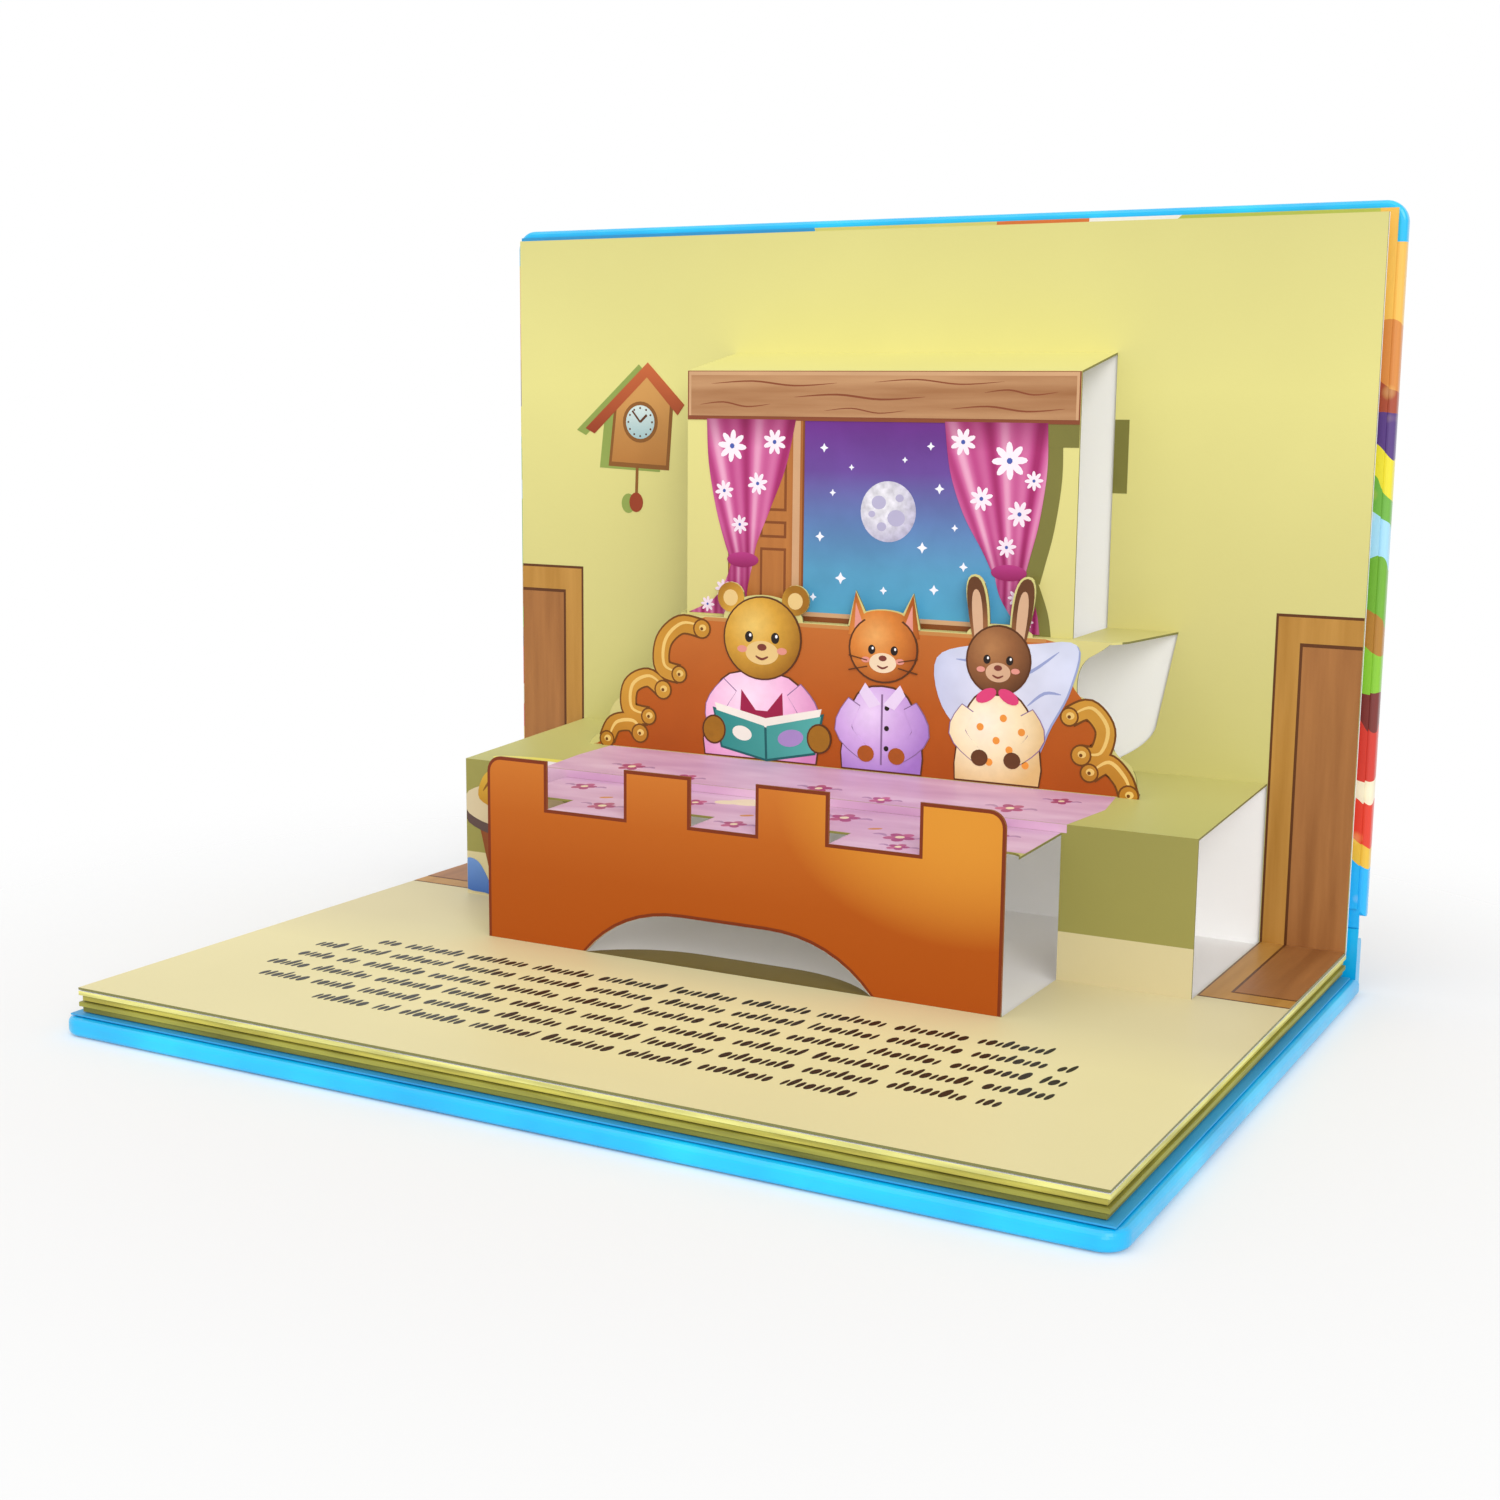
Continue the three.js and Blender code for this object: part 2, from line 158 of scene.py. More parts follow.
# %% Soft curves and ellipses
def smooth(points, steps=6, closed=True):
    """A soft curve through a few chosen points."""
    count = len(points)
    spans = count if closed else count - 1
    curve = []
    for k in range(spans):
        if closed:
            a, b, c, d = (points[(k + i) % count] for i in (-1, 0, 1, 2))
        else:
            a, b, c, d = (points[min(max(k + i, 0), count - 1)] for i in (-1, 0, 1, 2))
        for s in range(steps):
            t = s / steps
            curve.append(tuple(
                0.5 * (2 * q + (r - p) * t + (2 * p - 5 * q + 4 * r - w) * t ** 2
                       + (3 * q - p - 3 * r + w) * t ** 3)
                for p, q, r, w in zip(a, b, c, d)
            ))
    if not closed:
        curve.append(points[-1])
    return curve


def sweep(points, steps=4):
    """A soft curve that stays open at its ends."""
    return smooth(points, steps, False)


def bend(start, pull, end, steps=8):
    """A plain curve from start to end that leans towards the point pull."""
    curve = []
    for t in (k / steps for k in range(steps + 1)):
        a, b, c = (1 - t) ** 2, 2 * t * (1 - t), t * t
        curve.append(tuple(a * p + b * q + c * r for p, q, r in zip(start, pull, end)))
    return curve


def ellipse(x, y, rx, ry, steps=28, turn_by=0.0):
    ring = []
    for k in range(steps):
        a = 2 * math.pi * k / steps
        px, py = rx * math.cos(a), ry * math.sin(a)
        ring.append((
            x + px * math.cos(turn_by) - py * math.sin(turn_by),
            y + px * math.sin(turn_by) + py * math.cos(turn_by),
        ))
    return ring


print("a soft curve through three points has", len(sweep([(0, 0), (1, 1), (2, 0)])), "points")


# %% Boxes and strokes
def box2(x0, x1, y0, y1):
    return [(x0, y0), (x1, y0), (x1, y1), (x0, y1)]


def moved(outline, dx, dy):
    return [(x + dx, y + dy) for x, y in outline]


def stroke(points, width, taper=0.0):
    """A band along a line of points, thinner towards its ends where taper is above zero."""
    left, right = [], []
    last = len(points) - 1
    for k, (x, y) in enumerate(points):
        x0, y0 = points[max(k - 1, 0)]
        x1, y1 = points[min(k + 1, last)]
        length = math.hypot(x1 - x0, y1 - y0) or 1.0
        nx, ny = -(y1 - y0) / length, (x1 - x0) / length
        half = 0.5 * width * (1 - taper * abs(2 * k / last - 1) ** 2)
        left.append((x + nx * half, y + ny * half))
        right.append((x - nx * half, y - ny * half))
    return left + right[::-1]


print("a stroke of three points has", len(stroke([(0, 0), (1, 1), (2, 0)], 0.5)), "corners")

# %% [markdown]
# ## A printed shape
# A print is a face cut to the outline, then extruded to its tiny thickness, so that it stays a
# closed solid. All the shapes of one panel are gathered in one piece.

# %% Print pieces
class Print:
    """Gathers thin shapes on one panel into one piece."""

    def __init__(self, name, panel):
        self.name = name
        self.panel = panel
        self.mesh = bmesh.new()
        self.inks = []
        self.count = 0

    def add(self, outline, ink, layer=1):
        if ink not in self.inks:
            self.inks.append(ink)
        low = [self.mesh.verts.new(on_panel(self.panel, u, v)) for u, v in outline]
        face = self.mesh.faces.new(low)
        face.normal_update()
        outward = Vector((0, -1, 0)) if self.panel["upright"] else Vector((0, 0, 1))
        if face.normal.dot(outward) > 0:
            face.normal_flip()
        grown = bmesh.ops.extrude_face_region(self.mesh, geom=[face], use_keep_orig=True)
        top = [g for g in grown["geom"] if isinstance(g, bmesh.types.BMVert)]
        thickness = LAYER * layer + STEP_IN_LAYER * (self.count % STEPS_IN_LAYER)
        bmesh.ops.translate(self.mesh, verts=top, vec=outward * thickness * MM)
        self.count += 1
        slot = self.inks.index(ink)
        for vert in low + top:
            for linked in vert.link_faces:
                linked.material_index = slot

    def finish(self):
        bmesh.ops.recalc_face_normals(self.mesh, faces=self.mesh.faces)
        data = bpy.data.meshes.new(self.name)
        self.mesh.to_mesh(data)
        self.mesh.free()
        for ink in self.inks:
            data.materials.append(ink)
        piece = bpy.data.objects.new(self.name, data)
        scene.collection.objects.link(piece)
        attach(piece, "back_half")
        print(self.name, len(data.polygons), "faces,", len(self.inks), "inks")


print("shapes of one layer differ by", STEP_IN_LAYER, "mm")

# %% [markdown]
# ## Inks
# The print is offset ink under a thin varnish. Colours blend along one direction of the panel, so
# each ink is a colour ramp over the object's own coordinates, with a faint mottle.

# %% A short way to write nodes
def linear(hex_colour):
    """A colour written as in a paint shop, such as D8902F, as the linear colour of a socket."""
    out = []
    for k in (0, 2, 4):
        c = int(hex_colour[k:k + 2], 16) / 255
        out.append(c / 12.92 if c <= 0.04045 else ((c + 0.055) / 1.055) ** 2.4)
    return (*out, 1)


def set_sockets(node, **values):
    """Sets a node's sockets by name, with _ for each space."""
    for name, value in values.items():
        node.inputs[name.replace("_", " ")].default_value = value
    return node


class Nodes:
    """A short way to write a material's nodes."""

    def __init__(self, name, roughness=0.5, coat=0.0, specular=0.5):
        self.material = bpy.data.materials.new(name)
        self.material.use_nodes = True
        self.tree = self.material.node_tree
        self.shader = self.tree.nodes["Principled BSDF"]
        set_sockets(self.shader, Roughness=roughness, Coat_Weight=coat, Coat_Roughness=0.25)
        set_sockets(self.shader, Specular_IOR_Level=specular)

    def node(self, kind, **values):
        made = self.tree.nodes.new("ShaderNode" + kind)
        for key, value in values.items():
            setattr(made, key, value)
        return made

    def feed(self, socket, value):
        """Sets a socket to a number or a written colour, or links another socket to it."""
        if isinstance(value, str):
            socket.default_value = linear(value)
        elif isinstance(value, (int, float)):
            socket.default_value = value
        else:
            self.tree.links.new(value, socket)

    def place(self):
        return self.node("TexCoord").outputs["Object"]

    def axis(self, name):
        split = self.node("SeparateXYZ")
        self.feed(split.inputs[0], self.place())
        return split.outputs[name]

    def math(self, operation, *values):
        made = self.node("Math", operation=operation)
        for socket, value in zip(made.inputs, values):
            self.feed(socket, value)
        return made.outputs[0]

    def span(self, value, low, high):
        made = set_sockets(self.node("MapRange"), From_Min=low, From_Max=high)
        self.feed(made.inputs["Value"], value)
        return made.outputs["Result"]

    def ramp(self, value, stops, step=False):
        """Colours after their places, as in 0.3 C8C8C8 0.7 FFFFFF, or alone at even steps."""
        words = stops.split()
        if len(words) == 1:
            words *= 2
        if len(words[0]) == 6:
            words = [w for k, colour in enumerate(words) for w in (k / (len(words) - 1), colour)]
        made = self.node("ValToRGB")
        made.color_ramp.interpolation = "CONSTANT" if step else "LINEAR"
        elements = made.color_ramp.elements
        while len(elements) < len(words) // 2:
            elements.new(0.5)
        for element, position, colour in zip(elements, words[::2], words[1::2]):
            element.position = float(position)
            element.color = linear(colour)
        self.feed(made.inputs["Fac"], value)
        return made.outputs["Color"]

    def noise(self, scale, stretch=(1, 1, 1), detail=4.0):
        mapping = set_sockets(self.node("Mapping"), Scale=stretch)
        self.feed(mapping.inputs["Vector"], self.place())
        made = set_sockets(self.node("TexNoise"), Scale=scale, Detail=detail)
        self.feed(made.inputs["Vector"], mapping.outputs[0])
        return made.outputs["Fac"]

    def mix(self, factor, a, b, blend="MIX"):
        made = self.node("Mix", data_type="RGBA", blend_type=blend)
        for socket, value in zip((0, 6, 7), (factor, a, b)):
            self.feed(made.inputs[socket], value)
        return made.outputs[2]

    def bump(self, height, strength, distance):
        made = set_sockets(self.node("Bump"), Strength=strength, Distance=distance)
        self.feed(made.inputs["Height"], height)
        self.feed(self.shader.inputs["Normal"], made.outputs[0])

    def colour(self, value):
        self.feed(self.shader.inputs["Base Color"], value)
        return self.material


print("the first colour of the wall is", linear("CBC47C"))

# %% Ink makers
PRINT_COAT = 0.04
PRINT_SPECULAR = 0.25
GRAIN = 70
ALONG = {"X": (0.07, 1, 1), "Y": (1, 0.07, 1), "Z": (1, 1, 0.07)}


def printed(name, roughness=0.45):
    return Nodes(name, roughness, PRINT_COAT, PRINT_SPECULAR)


def card_bump(n):
    """The faint fibre of card under varnish."""
    n.bump(n.noise(900, detail=2.0), 0.12, 0.0002)


def ink(name, colours, axis="Z", low=0.0, high=200.0, mottle=0.06):
    """An ink that blends along one axis, between two places measured from the gutter fold."""
    n = printed(name, 0.42)
    shift = {"X": 0.0, "Y": GUTTER_Y, "Z": GUTTER_Z}[axis]
    value = n.span(n.axis(axis), (low + shift) * MM, (high + shift) * MM)
    grey = n.ramp(n.noise(60, detail=3.0), "0.3 C8C8C8 0.7 FFFFFF")
    card_bump(n)
    return n.colour(n.mix(mottle * 4, n.ramp(value, colours), grey, "MULTIPLY"))


def round_ink(name, colours, x, z, radius, mottle=0.05):
    """An ink that darkens from the middle of a round form to its rim, lit from above left."""
    n = printed(name)
    dx = n.math("SUBTRACT", n.axis("X"), (x - 0.25 * radius) * MM)
    dz = n.math("SUBTRACT", n.axis("Z"), frame_z(z + 0.3 * radius))
    reach = n.math("SQRT", n.math("ADD", n.math("POWER", dx, 2), n.math("POWER", dz, 2)))
    value = n.span(reach, 0, 1.35 * radius * MM)
    fur = n.ramp(n.noise(420, detail=4.0), "0.3 B4B4B4 0.7 FFFFFF")
    card_bump(n)
    return n.colour(n.mix(mottle * 4, n.ramp(value, colours), fur, "MULTIPLY"))


def wood_ink(name, dark, light, axis="Z"):
    """Painted wood: long streaks along the grain."""
    n = printed(name)
    streaks = n.noise(GRAIN * 3, ALONG[axis], 5.0)
    broad = n.noise(GRAIN * 0.8, ALONG[axis], 2.0)
    value = n.math("ADD", n.math("MULTIPLY", streaks, 0.6), n.math("MULTIPLY", broad, 0.4))
    card_bump(n)
    return n.colour(n.ramp(value, f"0.34 {dark} 0.66 {light}"))


print("printed ink has a coat of", PRINT_COAT)

# %% [markdown]
# ## The card
# The printed side of the card faces the reader and its back is plain white. The shader looks at
# which way a face points and where it lies, and gives wall, shelf and floor their ground colour.
# The cut edges are painted darker than the wall, and the footboard's edges darker than its wood: painted
# shade on the thin edges of the card, the front edge of the floor leaf included.

# %% Ground colours of the printed card
# Painted shade for the thin cut edges of the card and of the footboard.
CUT_EDGE_SHADE = "7D7A48"
FOOTBOARD_EDGE_SHADE = "8E4414"


def facing(n):
    """Which way a face points, as three numbers."""
    way = n.node("SeparateXYZ")
    n.feed(way.inputs[0], n.node("NewGeometry").outputs["True Normal"])
    return way.outputs


def off_middle(n, axis, middle, reach):
    """The square of how far a place is from a middle, in shares of a reach."""
    away = n.math("SUBTRACT", n.axis(axis), middle)
    return n.math("POWER", n.math("MULTIPLY", away, 1 / (reach * MM)), 2)


def floor_ground(n, y):
    """The floor is lightest in an oval where the rows of dots lie."""
    plain = n.ramp(
        n.span(y, frame_y(-LEAF_LENGTH), frame_y(-40)),
        "0 EADFA9 0.42 EDE2AC 0.62 E0D4A6 1 D8CCA2",
    )
    oval = n.math("ADD", off_middle(n, "X", 0, 125), off_middle(n, "Y", frame_y(-155), 42))
    return n.mix(n.ramp(oval, "0 999999 0.9 000000"), plain, "FAEEAF")


def printed_card():
    n = printed("printed_card", 0.48)
    way = facing(n)
    up = n.math("GREATER_THAN", way["Z"], 0.5)
    front = n.math("LESS_THAN", way["Y"], -0.5)
    behind = n.math("GREATER_THAN", way["Y"], 0.7)
    under = n.math("LESS_THAN", way["Z"], -0.9)
    y, z = n.axis("Y"), n.axis("Z")
    wall = n.ramp(
        n.span(z, frame_z(46), frame_z(204)),
        "0 CBC47C 0.28 D6CE86 0.7 E6DF8E 1 DBD489",
    )
    shelf = n.ramp(n.span(y, frame_y(-SHELF_DEPTH), frame_y(0)), "0 BDBA6F 1 CFC97F")
    on_floor = n.math("LESS_THAN", z, frame_z(2))
    on_shelf = n.math("LESS_THAN", z, frame_z(50))
    lying_colour = n.mix(on_floor, n.mix(on_shelf, wall, shelf), floor_ground(n, y))
    skirting = n.math("LESS_THAN", z, frame_z(13.4))
    shelf_front = n.mix(skirting, "98924F", "D3C69A")
    standing_colour = n.mix(n.math("LESS_THAN", y, frame_y(-60)), wall, shelf_front)
    ground = n.mix(up, standing_colour, lying_colour)
    mottle = n.ramp(n.noise(14, detail=3.0), "0.3 D0D0C0 0.7 FFFFFF")
    # Painted shade along the front edge of the floor leaf.
    leaf_edge = n.math("MULTIPLY", front, n.math("LESS_THAN", z, frame_z(0)))
    print_side = n.mix(leaf_edge, n.mix(0.12, ground, mottle, "MULTIPLY"), CUT_EDGE_SHADE)
    # Painted shade on the footboard's cut edges, those facing up included.
    at_footboard = n.math("LESS_THAN", y, frame_y(-105.9))
    foot_edge = n.math("MULTIPLY", at_footboard, n.math("GREATER_THAN", z, frame_z(1)))
    print_side = n.mix(n.math("MULTIPLY", foot_edge, up), print_side, FOOTBOARD_EDGE_SHADE)
    cut = n.mix(foot_edge, CUT_EDGE_SHADE, FOOTBOARD_EDGE_SHADE)
    face = n.mix(n.math("MAXIMUM", up, front), cut, print_side)
    card_bump(n)
    return n.colour(n.mix(n.math("MAXIMUM", behind, under), face, "F4F3F0"))


def assign(name, material):
    data = nodes[name].data
    data.materials.clear()
    data.materials.append(material)


assign("popup_sheet", printed_card())
print("printed card on popup_sheet")

# %% [markdown]
# ## Plain card and closed leaves
# The back of the next leaves is unprinted card. The closed leaves show it on top, and at their edges
# steps of colour: partly the colours of the scenes they carry, partly painted shade in the gaps between
# the leaves.

# %% White card and leaf edges
def white_card():
    n = Nodes("white_card", 0.75)
    card_bump(n)
    shade = n.ramp(n.noise(8, detail=2.0), "0.3 F4F3F1 0.7 F9F8F7")
    return n.colour(shade)


def leaf_card():
    n = Nodes("leaf_card", 0.6)
    low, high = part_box("closed_leaves")
    topmost = n.math("GREATER_THAN", n.axis("Z"), high.z - 0.1 * MM)
    up = n.math("MULTIPLY", n.math("GREATER_THAN", facing(n)["Z"], 0.5), topmost)
    # Steps up the edge: leaves in the colours of their scenes, with painted shade for the gaps between
    # them.
    edge = n.ramp(
        n.span(n.axis("Z"), low.z, high.z),
        "0 8C8A36 0.26 A9A440 0.5 D2C85A 0.77 EDE68A", step=True,
    )
    streak = n.ramp(n.noise(40, (1, 1, 14), 3.0), "0.35 8C8760 0.65 FFFFFF")
    card_bump(n)
    return n.colour(n.mix(up, n.mix(0.5, edge, streak, "MULTIPLY"), "F2F0EE"))


assign("standing_leaf", white_card())
assign("closed_leaves", leaf_card())
print("white card and leaf edges")

# %% [markdown]
# ## The padded cover
# The boards are wrapped in a glossy film over foam, so light slides along their rounded edges and
# the film is a little uneven. The outside of the standing cover carries a picture of rolling
# bands, which wraps round its edge.

# %% Cover film and lining
def picture_bands(n):
    """A made-up landscape in wavy bands, dotted with pale flowers."""
    wave = n.math("MULTIPLY", n.noise(22, detail=3.0), 0.07)
    height = n.math("ADD", n.axis("Z"), wave)
    bands = n.ramp(
        n.span(height, 0.05, 0.262),
        "0 12B0F0 0.1 E6B93A 0.15 DE3820 0.21 F1E6C8 0.24 D03424 0.29 74241E "
        "0.34 86C42C 0.4 B07A28 0.47 6FAE2C 0.52 A8DCF2 0.57 6FB23E 0.62 EDE030 "
        "0.68 55357E 0.73 A8482A 0.78 D98A3C 0.84 F2BE52 0.92 C8C23A", step=True,
    )
    petals = set_sockets(n.node("TexVoronoi", feature="F1"), Scale=110)
    n.feed(petals.inputs["Vector"], n.place())
    spots = n.ramp(petals.outputs["Distance"], "0 E8C890 0.16 B89850 0.26 000000")
    return n.mix(0.5, bands, spots, "SCREEN")


def cover_film(name, picture=False):
    n = Nodes(name, 0.3, 0.25)
    colour = n.ramp(n.noise(26, detail=3.0), "0.3 00A6E0 0.55 00BEF2 0.75 14D4FF")
    if picture:
        below_rim = n.math("LESS_THAN", n.axis("Z"), frame_z(196))
        colour = n.mix(below_rim, colour, picture_bands(n))
    n.bump(n.noise(55, detail=3.0), 0.35, 0.0006)
    return n.colour(colour)


def banded_lining():
    n = Nodes("lining_bands", 0.5)
    bands = n.ramp(
        n.math("ADD", n.axis("X"), n.math("MULTIPLY", n.noise(12, detail=1.0), 0.12)),
        "0 2B97CC 0.02 D7CE72 0.06 D8742F 0.1 F3EFE4 0.13 B9C04E",
        step=True,
    )
    margin = n.math("GREATER_THAN", n.axis("X"), 137 * MM)
    card_bump(n)
    return n.colour(n.mix(margin, bands, picture_bands(n)))


def plain_lining():
    n = Nodes("lining_plain", 0.45)
    card_bump(n)
    return n.colour(n.ramp(n.noise(20), "0.3 2A92CC 0.7 35A6DC"))


assign("back_cover", cover_film("cover_film_plain"))
assign("spine", cover_film("cover_film_spine"))
assign("front_cover", cover_film("cover_film_picture", True))
assign("back_lining", plain_lining())
assign("front_lining", banded_lining())
print("cover film and linings")

# %% [markdown]
# ## The wall's print
# The wall has panelled wood at both ends, which goes on over the floor, and a small clock shaped
# like a house, with a painted shadow beside it.

# %% Wood at the wall's ends
oak_frame = wood_ink("oak_frame", "A9772F", "C7944A")
oak_panel = wood_ink("oak_panel", "8E5A2E", "B57B45")
oak_frame_flat = wood_ink("oak_frame_flat", "A9772F", "C7944A", "Y")
oak_panel_flat = wood_ink("oak_panel_flat", "8E5A2E", "B57B45", "Y")
deep_line = ink("deep_line", "5E3414")
painted_shadow = ink("painted_shadow", "7E7A3C")
WOOD_OUTER, WOOD_INNER = 139.9, 115.7


def oak_board(piece, side, foot, top, insets, frame_wood, panel_wood):
    """Line, frame, line and panel, each drawn in from the one under it."""
    for layer, ((across, along), paint) in enumerate(
        zip(insets, (deep_line, frame_wood, deep_line, panel_wood)), 1
    ):
        low, high = sorted((foot, top - math.copysign(along, top)))
        piece.add(box2(WOOD_OUTER * side, (WOOD_INNER + across) * side, low, high), paint, layer)


wall = Print("wall_print", WALL)
draw = wall.add
for side, top in ((-1, 97.5), (1, 95.0)):
    oak_board(wall, side, 0.1, top, ((0, 0), (0.7, 0.8), (7, 8), (7.8, 9)), oak_frame, oak_panel)
draw(box2(66.5, 70.8, 127, 148), painted_shadow)
print("wood at both ends of the wall,", wall.count, "shapes")

# %% Clock
CLOCK = (-93.4, 145.3)
clock_body = [(-105.6, 131), (-82.6, 130), (-81, 152), (-91.4, 162), (-103.4, 150)]
clock_wood = ink("clock_wood", "B6793A D9A25C", "Z", 130, 162)
clock_roof = ink("clock_roof", "9A3F22 CC6B3C", "Z", 142, 165)
clock_trim = ink("clock_trim", "8C5A28")
clock_dial = ink("clock_dial", "A9C9CC D6E6E2", "Z", 140, 150)
clock_shade = ink("clock_shadow", "93A552")
roof_left = [(-114.5, 143.1), (-90.6, 164.3), (-90.9, 159.6), (-111, 141.4)]
roof_right = [(-90.6, 164.3), (-76.9, 150.9), (-79.4, 147.6), (-90.9, 159.6)]
for outline in (clock_body, roof_left, roof_right):
    draw(moved(outline, -3.4, -0.6), clock_shade)
draw(clock_body, clock_trim, 2)
inner_body = [(x * 0.9 + CLOCK[0] * 0.1, y * 0.9 + CLOCK[1] * 0.1) for x, y in clock_body]
draw(inner_body, clock_wood, 3)
draw(roof_left, clock_roof, 4)
draw(roof_right, clock_roof, 5)
draw(ellipse(*CLOCK, 6.6, 6.6), clock_trim, 4)
draw(ellipse(*CLOCK, 5.4, 5.4), clock_dial, 5)
draw(stroke([CLOCK, (-90.9, 147.6)], 0.8), deep_line, 6)
draw(stroke([CLOCK, (-96.4, 148.9)], 0.6), deep_line, 6)
for k in range(12):
    a = math.pi * k / 6
    hour = ellipse(CLOCK[0] + 4.5 * math.sin(a), CLOCK[1] + 4.5 * math.cos(a), 0.35, 0.35, 8)
    draw(hour, deep_line, 6)
draw(stroke([(-94.6, 131), (-94.9, 122)], 1.0), clock_trim, 3)
draw(ellipse(-95, 119.4, 2.6, 3.2, 16), clock_roof, 3)
draw(ellipse(-98, 119, 2.6, 3.2, 16), clock_shade)
wall.finish()

# %% Wood on the floor
floor = Print("floor_print", FLOOR)
draw = floor.add
for side in (-1, 1):
    oak_board(
        floor, side, -0.1, -62.6, ((0, 0), (0.5, 0.6), (7, 7.2), (7.8, 8)),
        oak_frame_flat, oak_panel_flat,
    )
print("wood at both ends of the floor,", floor.count, "shapes")

# %% [markdown]
# ## Rows of dots
# The front of the floor carries rows of leaning dark dots in groups, which spell nothing. The
# tongue that was cut out of the footboard's arch lies on the floor leaf behind it, in shadow.

# %% Rows of dots on the floor leaf
type_ink = ink("type_ink", "1B1710", mottle=0.0)
ROW_PITCH = 10.1
FIRST_ROW = -129.8
ROW_MIDDLE_AND_HALF = ((0, 101), (-2, 113), (-1, 112), (-2, 113), (-3, 106), (-3, 79))
DOT_HEIGHTS = (4.2, 4.4, 6.2, 4.1, 4.8)
DOT_WIDTHS = (1.7, 1.1, 2.2, 1.4)
DOT_GAP, GROUP_GAP = 0.5, 2.7
LEAN = 0.12
for row, (row_middle, row_half) in enumerate(ROW_MIDDLE_AND_HALF):
    low = FIRST_ROW - row * ROW_PITCH
    x_pen, row_end = row_middle - row_half, row_middle + row_half
    mark = row * 5
    while x_pen < row_end - 4:
        for k in range(3 + (mark * 5 + 3 * row) % 9):
            high, wide = DOT_HEIGHTS[(mark * 3 + k) % 5] / 2, DOT_WIDTHS[(mark + 2 * k) % 4] / 2
            if x_pen + 2 * wide > row_end:
                break
            pill = ellipse(x_pen + wide, low + high, wide, high, 10)
            draw([(x + LEAN * (y - low - high), y) for x, y in pill], type_ink)
            x_pen += 2 * wide + DOT_GAP
            mark += 1
        x_pen += GROUP_GAP
print(len(ROW_MIDDLE_AND_HALF), "rows,", floor.count, "shapes on the floor by now")

# %% The tongue of the arch
ARCH_LEFT, ARCH_RIGHT, ARCH_RISE, ARCH_FLAT = -45.6, 42.5, 13.7, 26
ARCH_PULL = 12
arch_middle = (ARCH_LEFT + ARCH_RIGHT) / 2


def arch(foot, rise, inset):
    """The arch from its right foot over its flat top to its left foot, drawn out by inset."""
    pull = ARCH_PULL - max(inset, 0)
    flat = ARCH_FLAT / 2
    right = bend(
        (ARCH_RIGHT + inset, foot), (ARCH_RIGHT - pull, rise), (arch_middle + flat, rise),
    )
    left = bend((arch_middle - flat, rise), (ARCH_LEFT + pull, rise), (ARCH_LEFT - inset, foot))
    return right + left


# Painted shadow: the tongue lies under the bed, darkest at the footboard's foot.
arch_tongue_shadow = ink("arch_tongue_shadow", "6F5B1C 8C7838", "Y", -107, -93)
draw(arch(0.2 - FOOT_DEPTH, -93.5, -0.2), arch_tongue_shadow)
floor.finish()

# %% [markdown]
# ## The window
# The panel of the window shows a night sky with a moon, a wooden shutter, a pair of curtains tied
# at the side and a wooden board over them. Folds in the curtain are soft stripes in the ink.

# %% Sky with a moon and stars
SKY_LOW, SKY_HIGH = 88.6, 147
sky = ink("night_sky", "52A8CC 5AA2C8 6484BC 6E4C9E 70308E", "Z", SKY_LOW, SKY_HIGH, 0.1)
MOON = (9, 121)
MOON_RADIUS = 8.8
glow = round_ink("moon_ink", "FBFAFF EDEBF6 C9C4DE", *MOON, MOON_RADIUS, 0.16)
crater = ink("crater_ink", "BDB8D6")
star = ink("star_ink", "F4F6FF", mottle=0.0)
shutter = wood_ink("shutter_wood", "A05E2C", "C4803F")
shutter_line = ink("shutter_line", "85491F")
board = wood_ink("board_wood", "9C6840", "C99B70", "X")
board_edge = ink("board_edge", "8A4A2E")
board_light = ink("board_light", "D3A67C")

window = Print("window_print", WINDOW)
draw = window.add
draw(box2(-19, 52, SKY_LOW, SKY_HIGH), sky)
draw(ellipse(*MOON, MOON_RADIUS, MOON_RADIUS, 40), glow, 2)
for dx, dy, r in ((-3, 2.6, 2.3), (2.6, -1.8, 2.8), (-2, -4.4, 1.5), (3.6, 4, 1.3),
                  (-5.2, -0.8, 1.1)):
    draw(ellipse(MOON[0] + dx, MOON[1] + dy, r, r * 0.86, 16), crater, 3)
for x, y, r in ((-12, 139, 0.9), (-9, 126, 0.7), (-3, 133.5, 0.6), (-13, 113, 1.0), (22, 140, 0.8),
                (25, 128, 1.0), (20, 111, 1.1), (30, 117, 0.7), (-6, 101, 1.2), (8, 98, 0.8),
                (24, 99, 1.0), (33, 106, 0.9), (14, 136, 0.6), (-15, 95, 0.8), (37, 101, 0.7)):
    points = []
    for k in range(8):
        reach = r * (1.5 if k % 2 == 0 else 0.7)
        a = math.pi * k / 4
        points.append((x + reach * math.cos(a), y + reach * math.sin(a)))
    draw(points, star, 2)
print("sky, moon and stars,", window.count, "shapes")

# %% Shutter and board
draw(box2(-44, -18.4, SKY_LOW, SKY_HIGH), shutter_line, 2)
draw(box2(-43.6, -19, SKY_LOW + 0.4, SKY_HIGH), shutter, 3)
draw(box2(-22.2, -19.8, SKY_LOW + 0.4, SKY_HIGH), board_light, 4)
for low, high in ((92, 109), (112, 117), (120, 143)):
    draw(box2(-33, -24.2, low, high), shutter_line, 4)
    draw(box2(-32.2, -25, low + 0.8, high - 0.8), shutter, 5)
draw(box2(-44, 52, 87.6, 90), shutter_line, 3)
draw(box2(-19, 52, 89.1, 90.4), board_light, 4)
draw(box2(-58.3, 66.4, 146.7, 161.2), board_edge, 5)
draw(box2(-57.9, 66.0, 147.9, 161.0), board_light, 6)
draw(box2(-57.1, 65.2, 147.9, 159.9), board, 7)
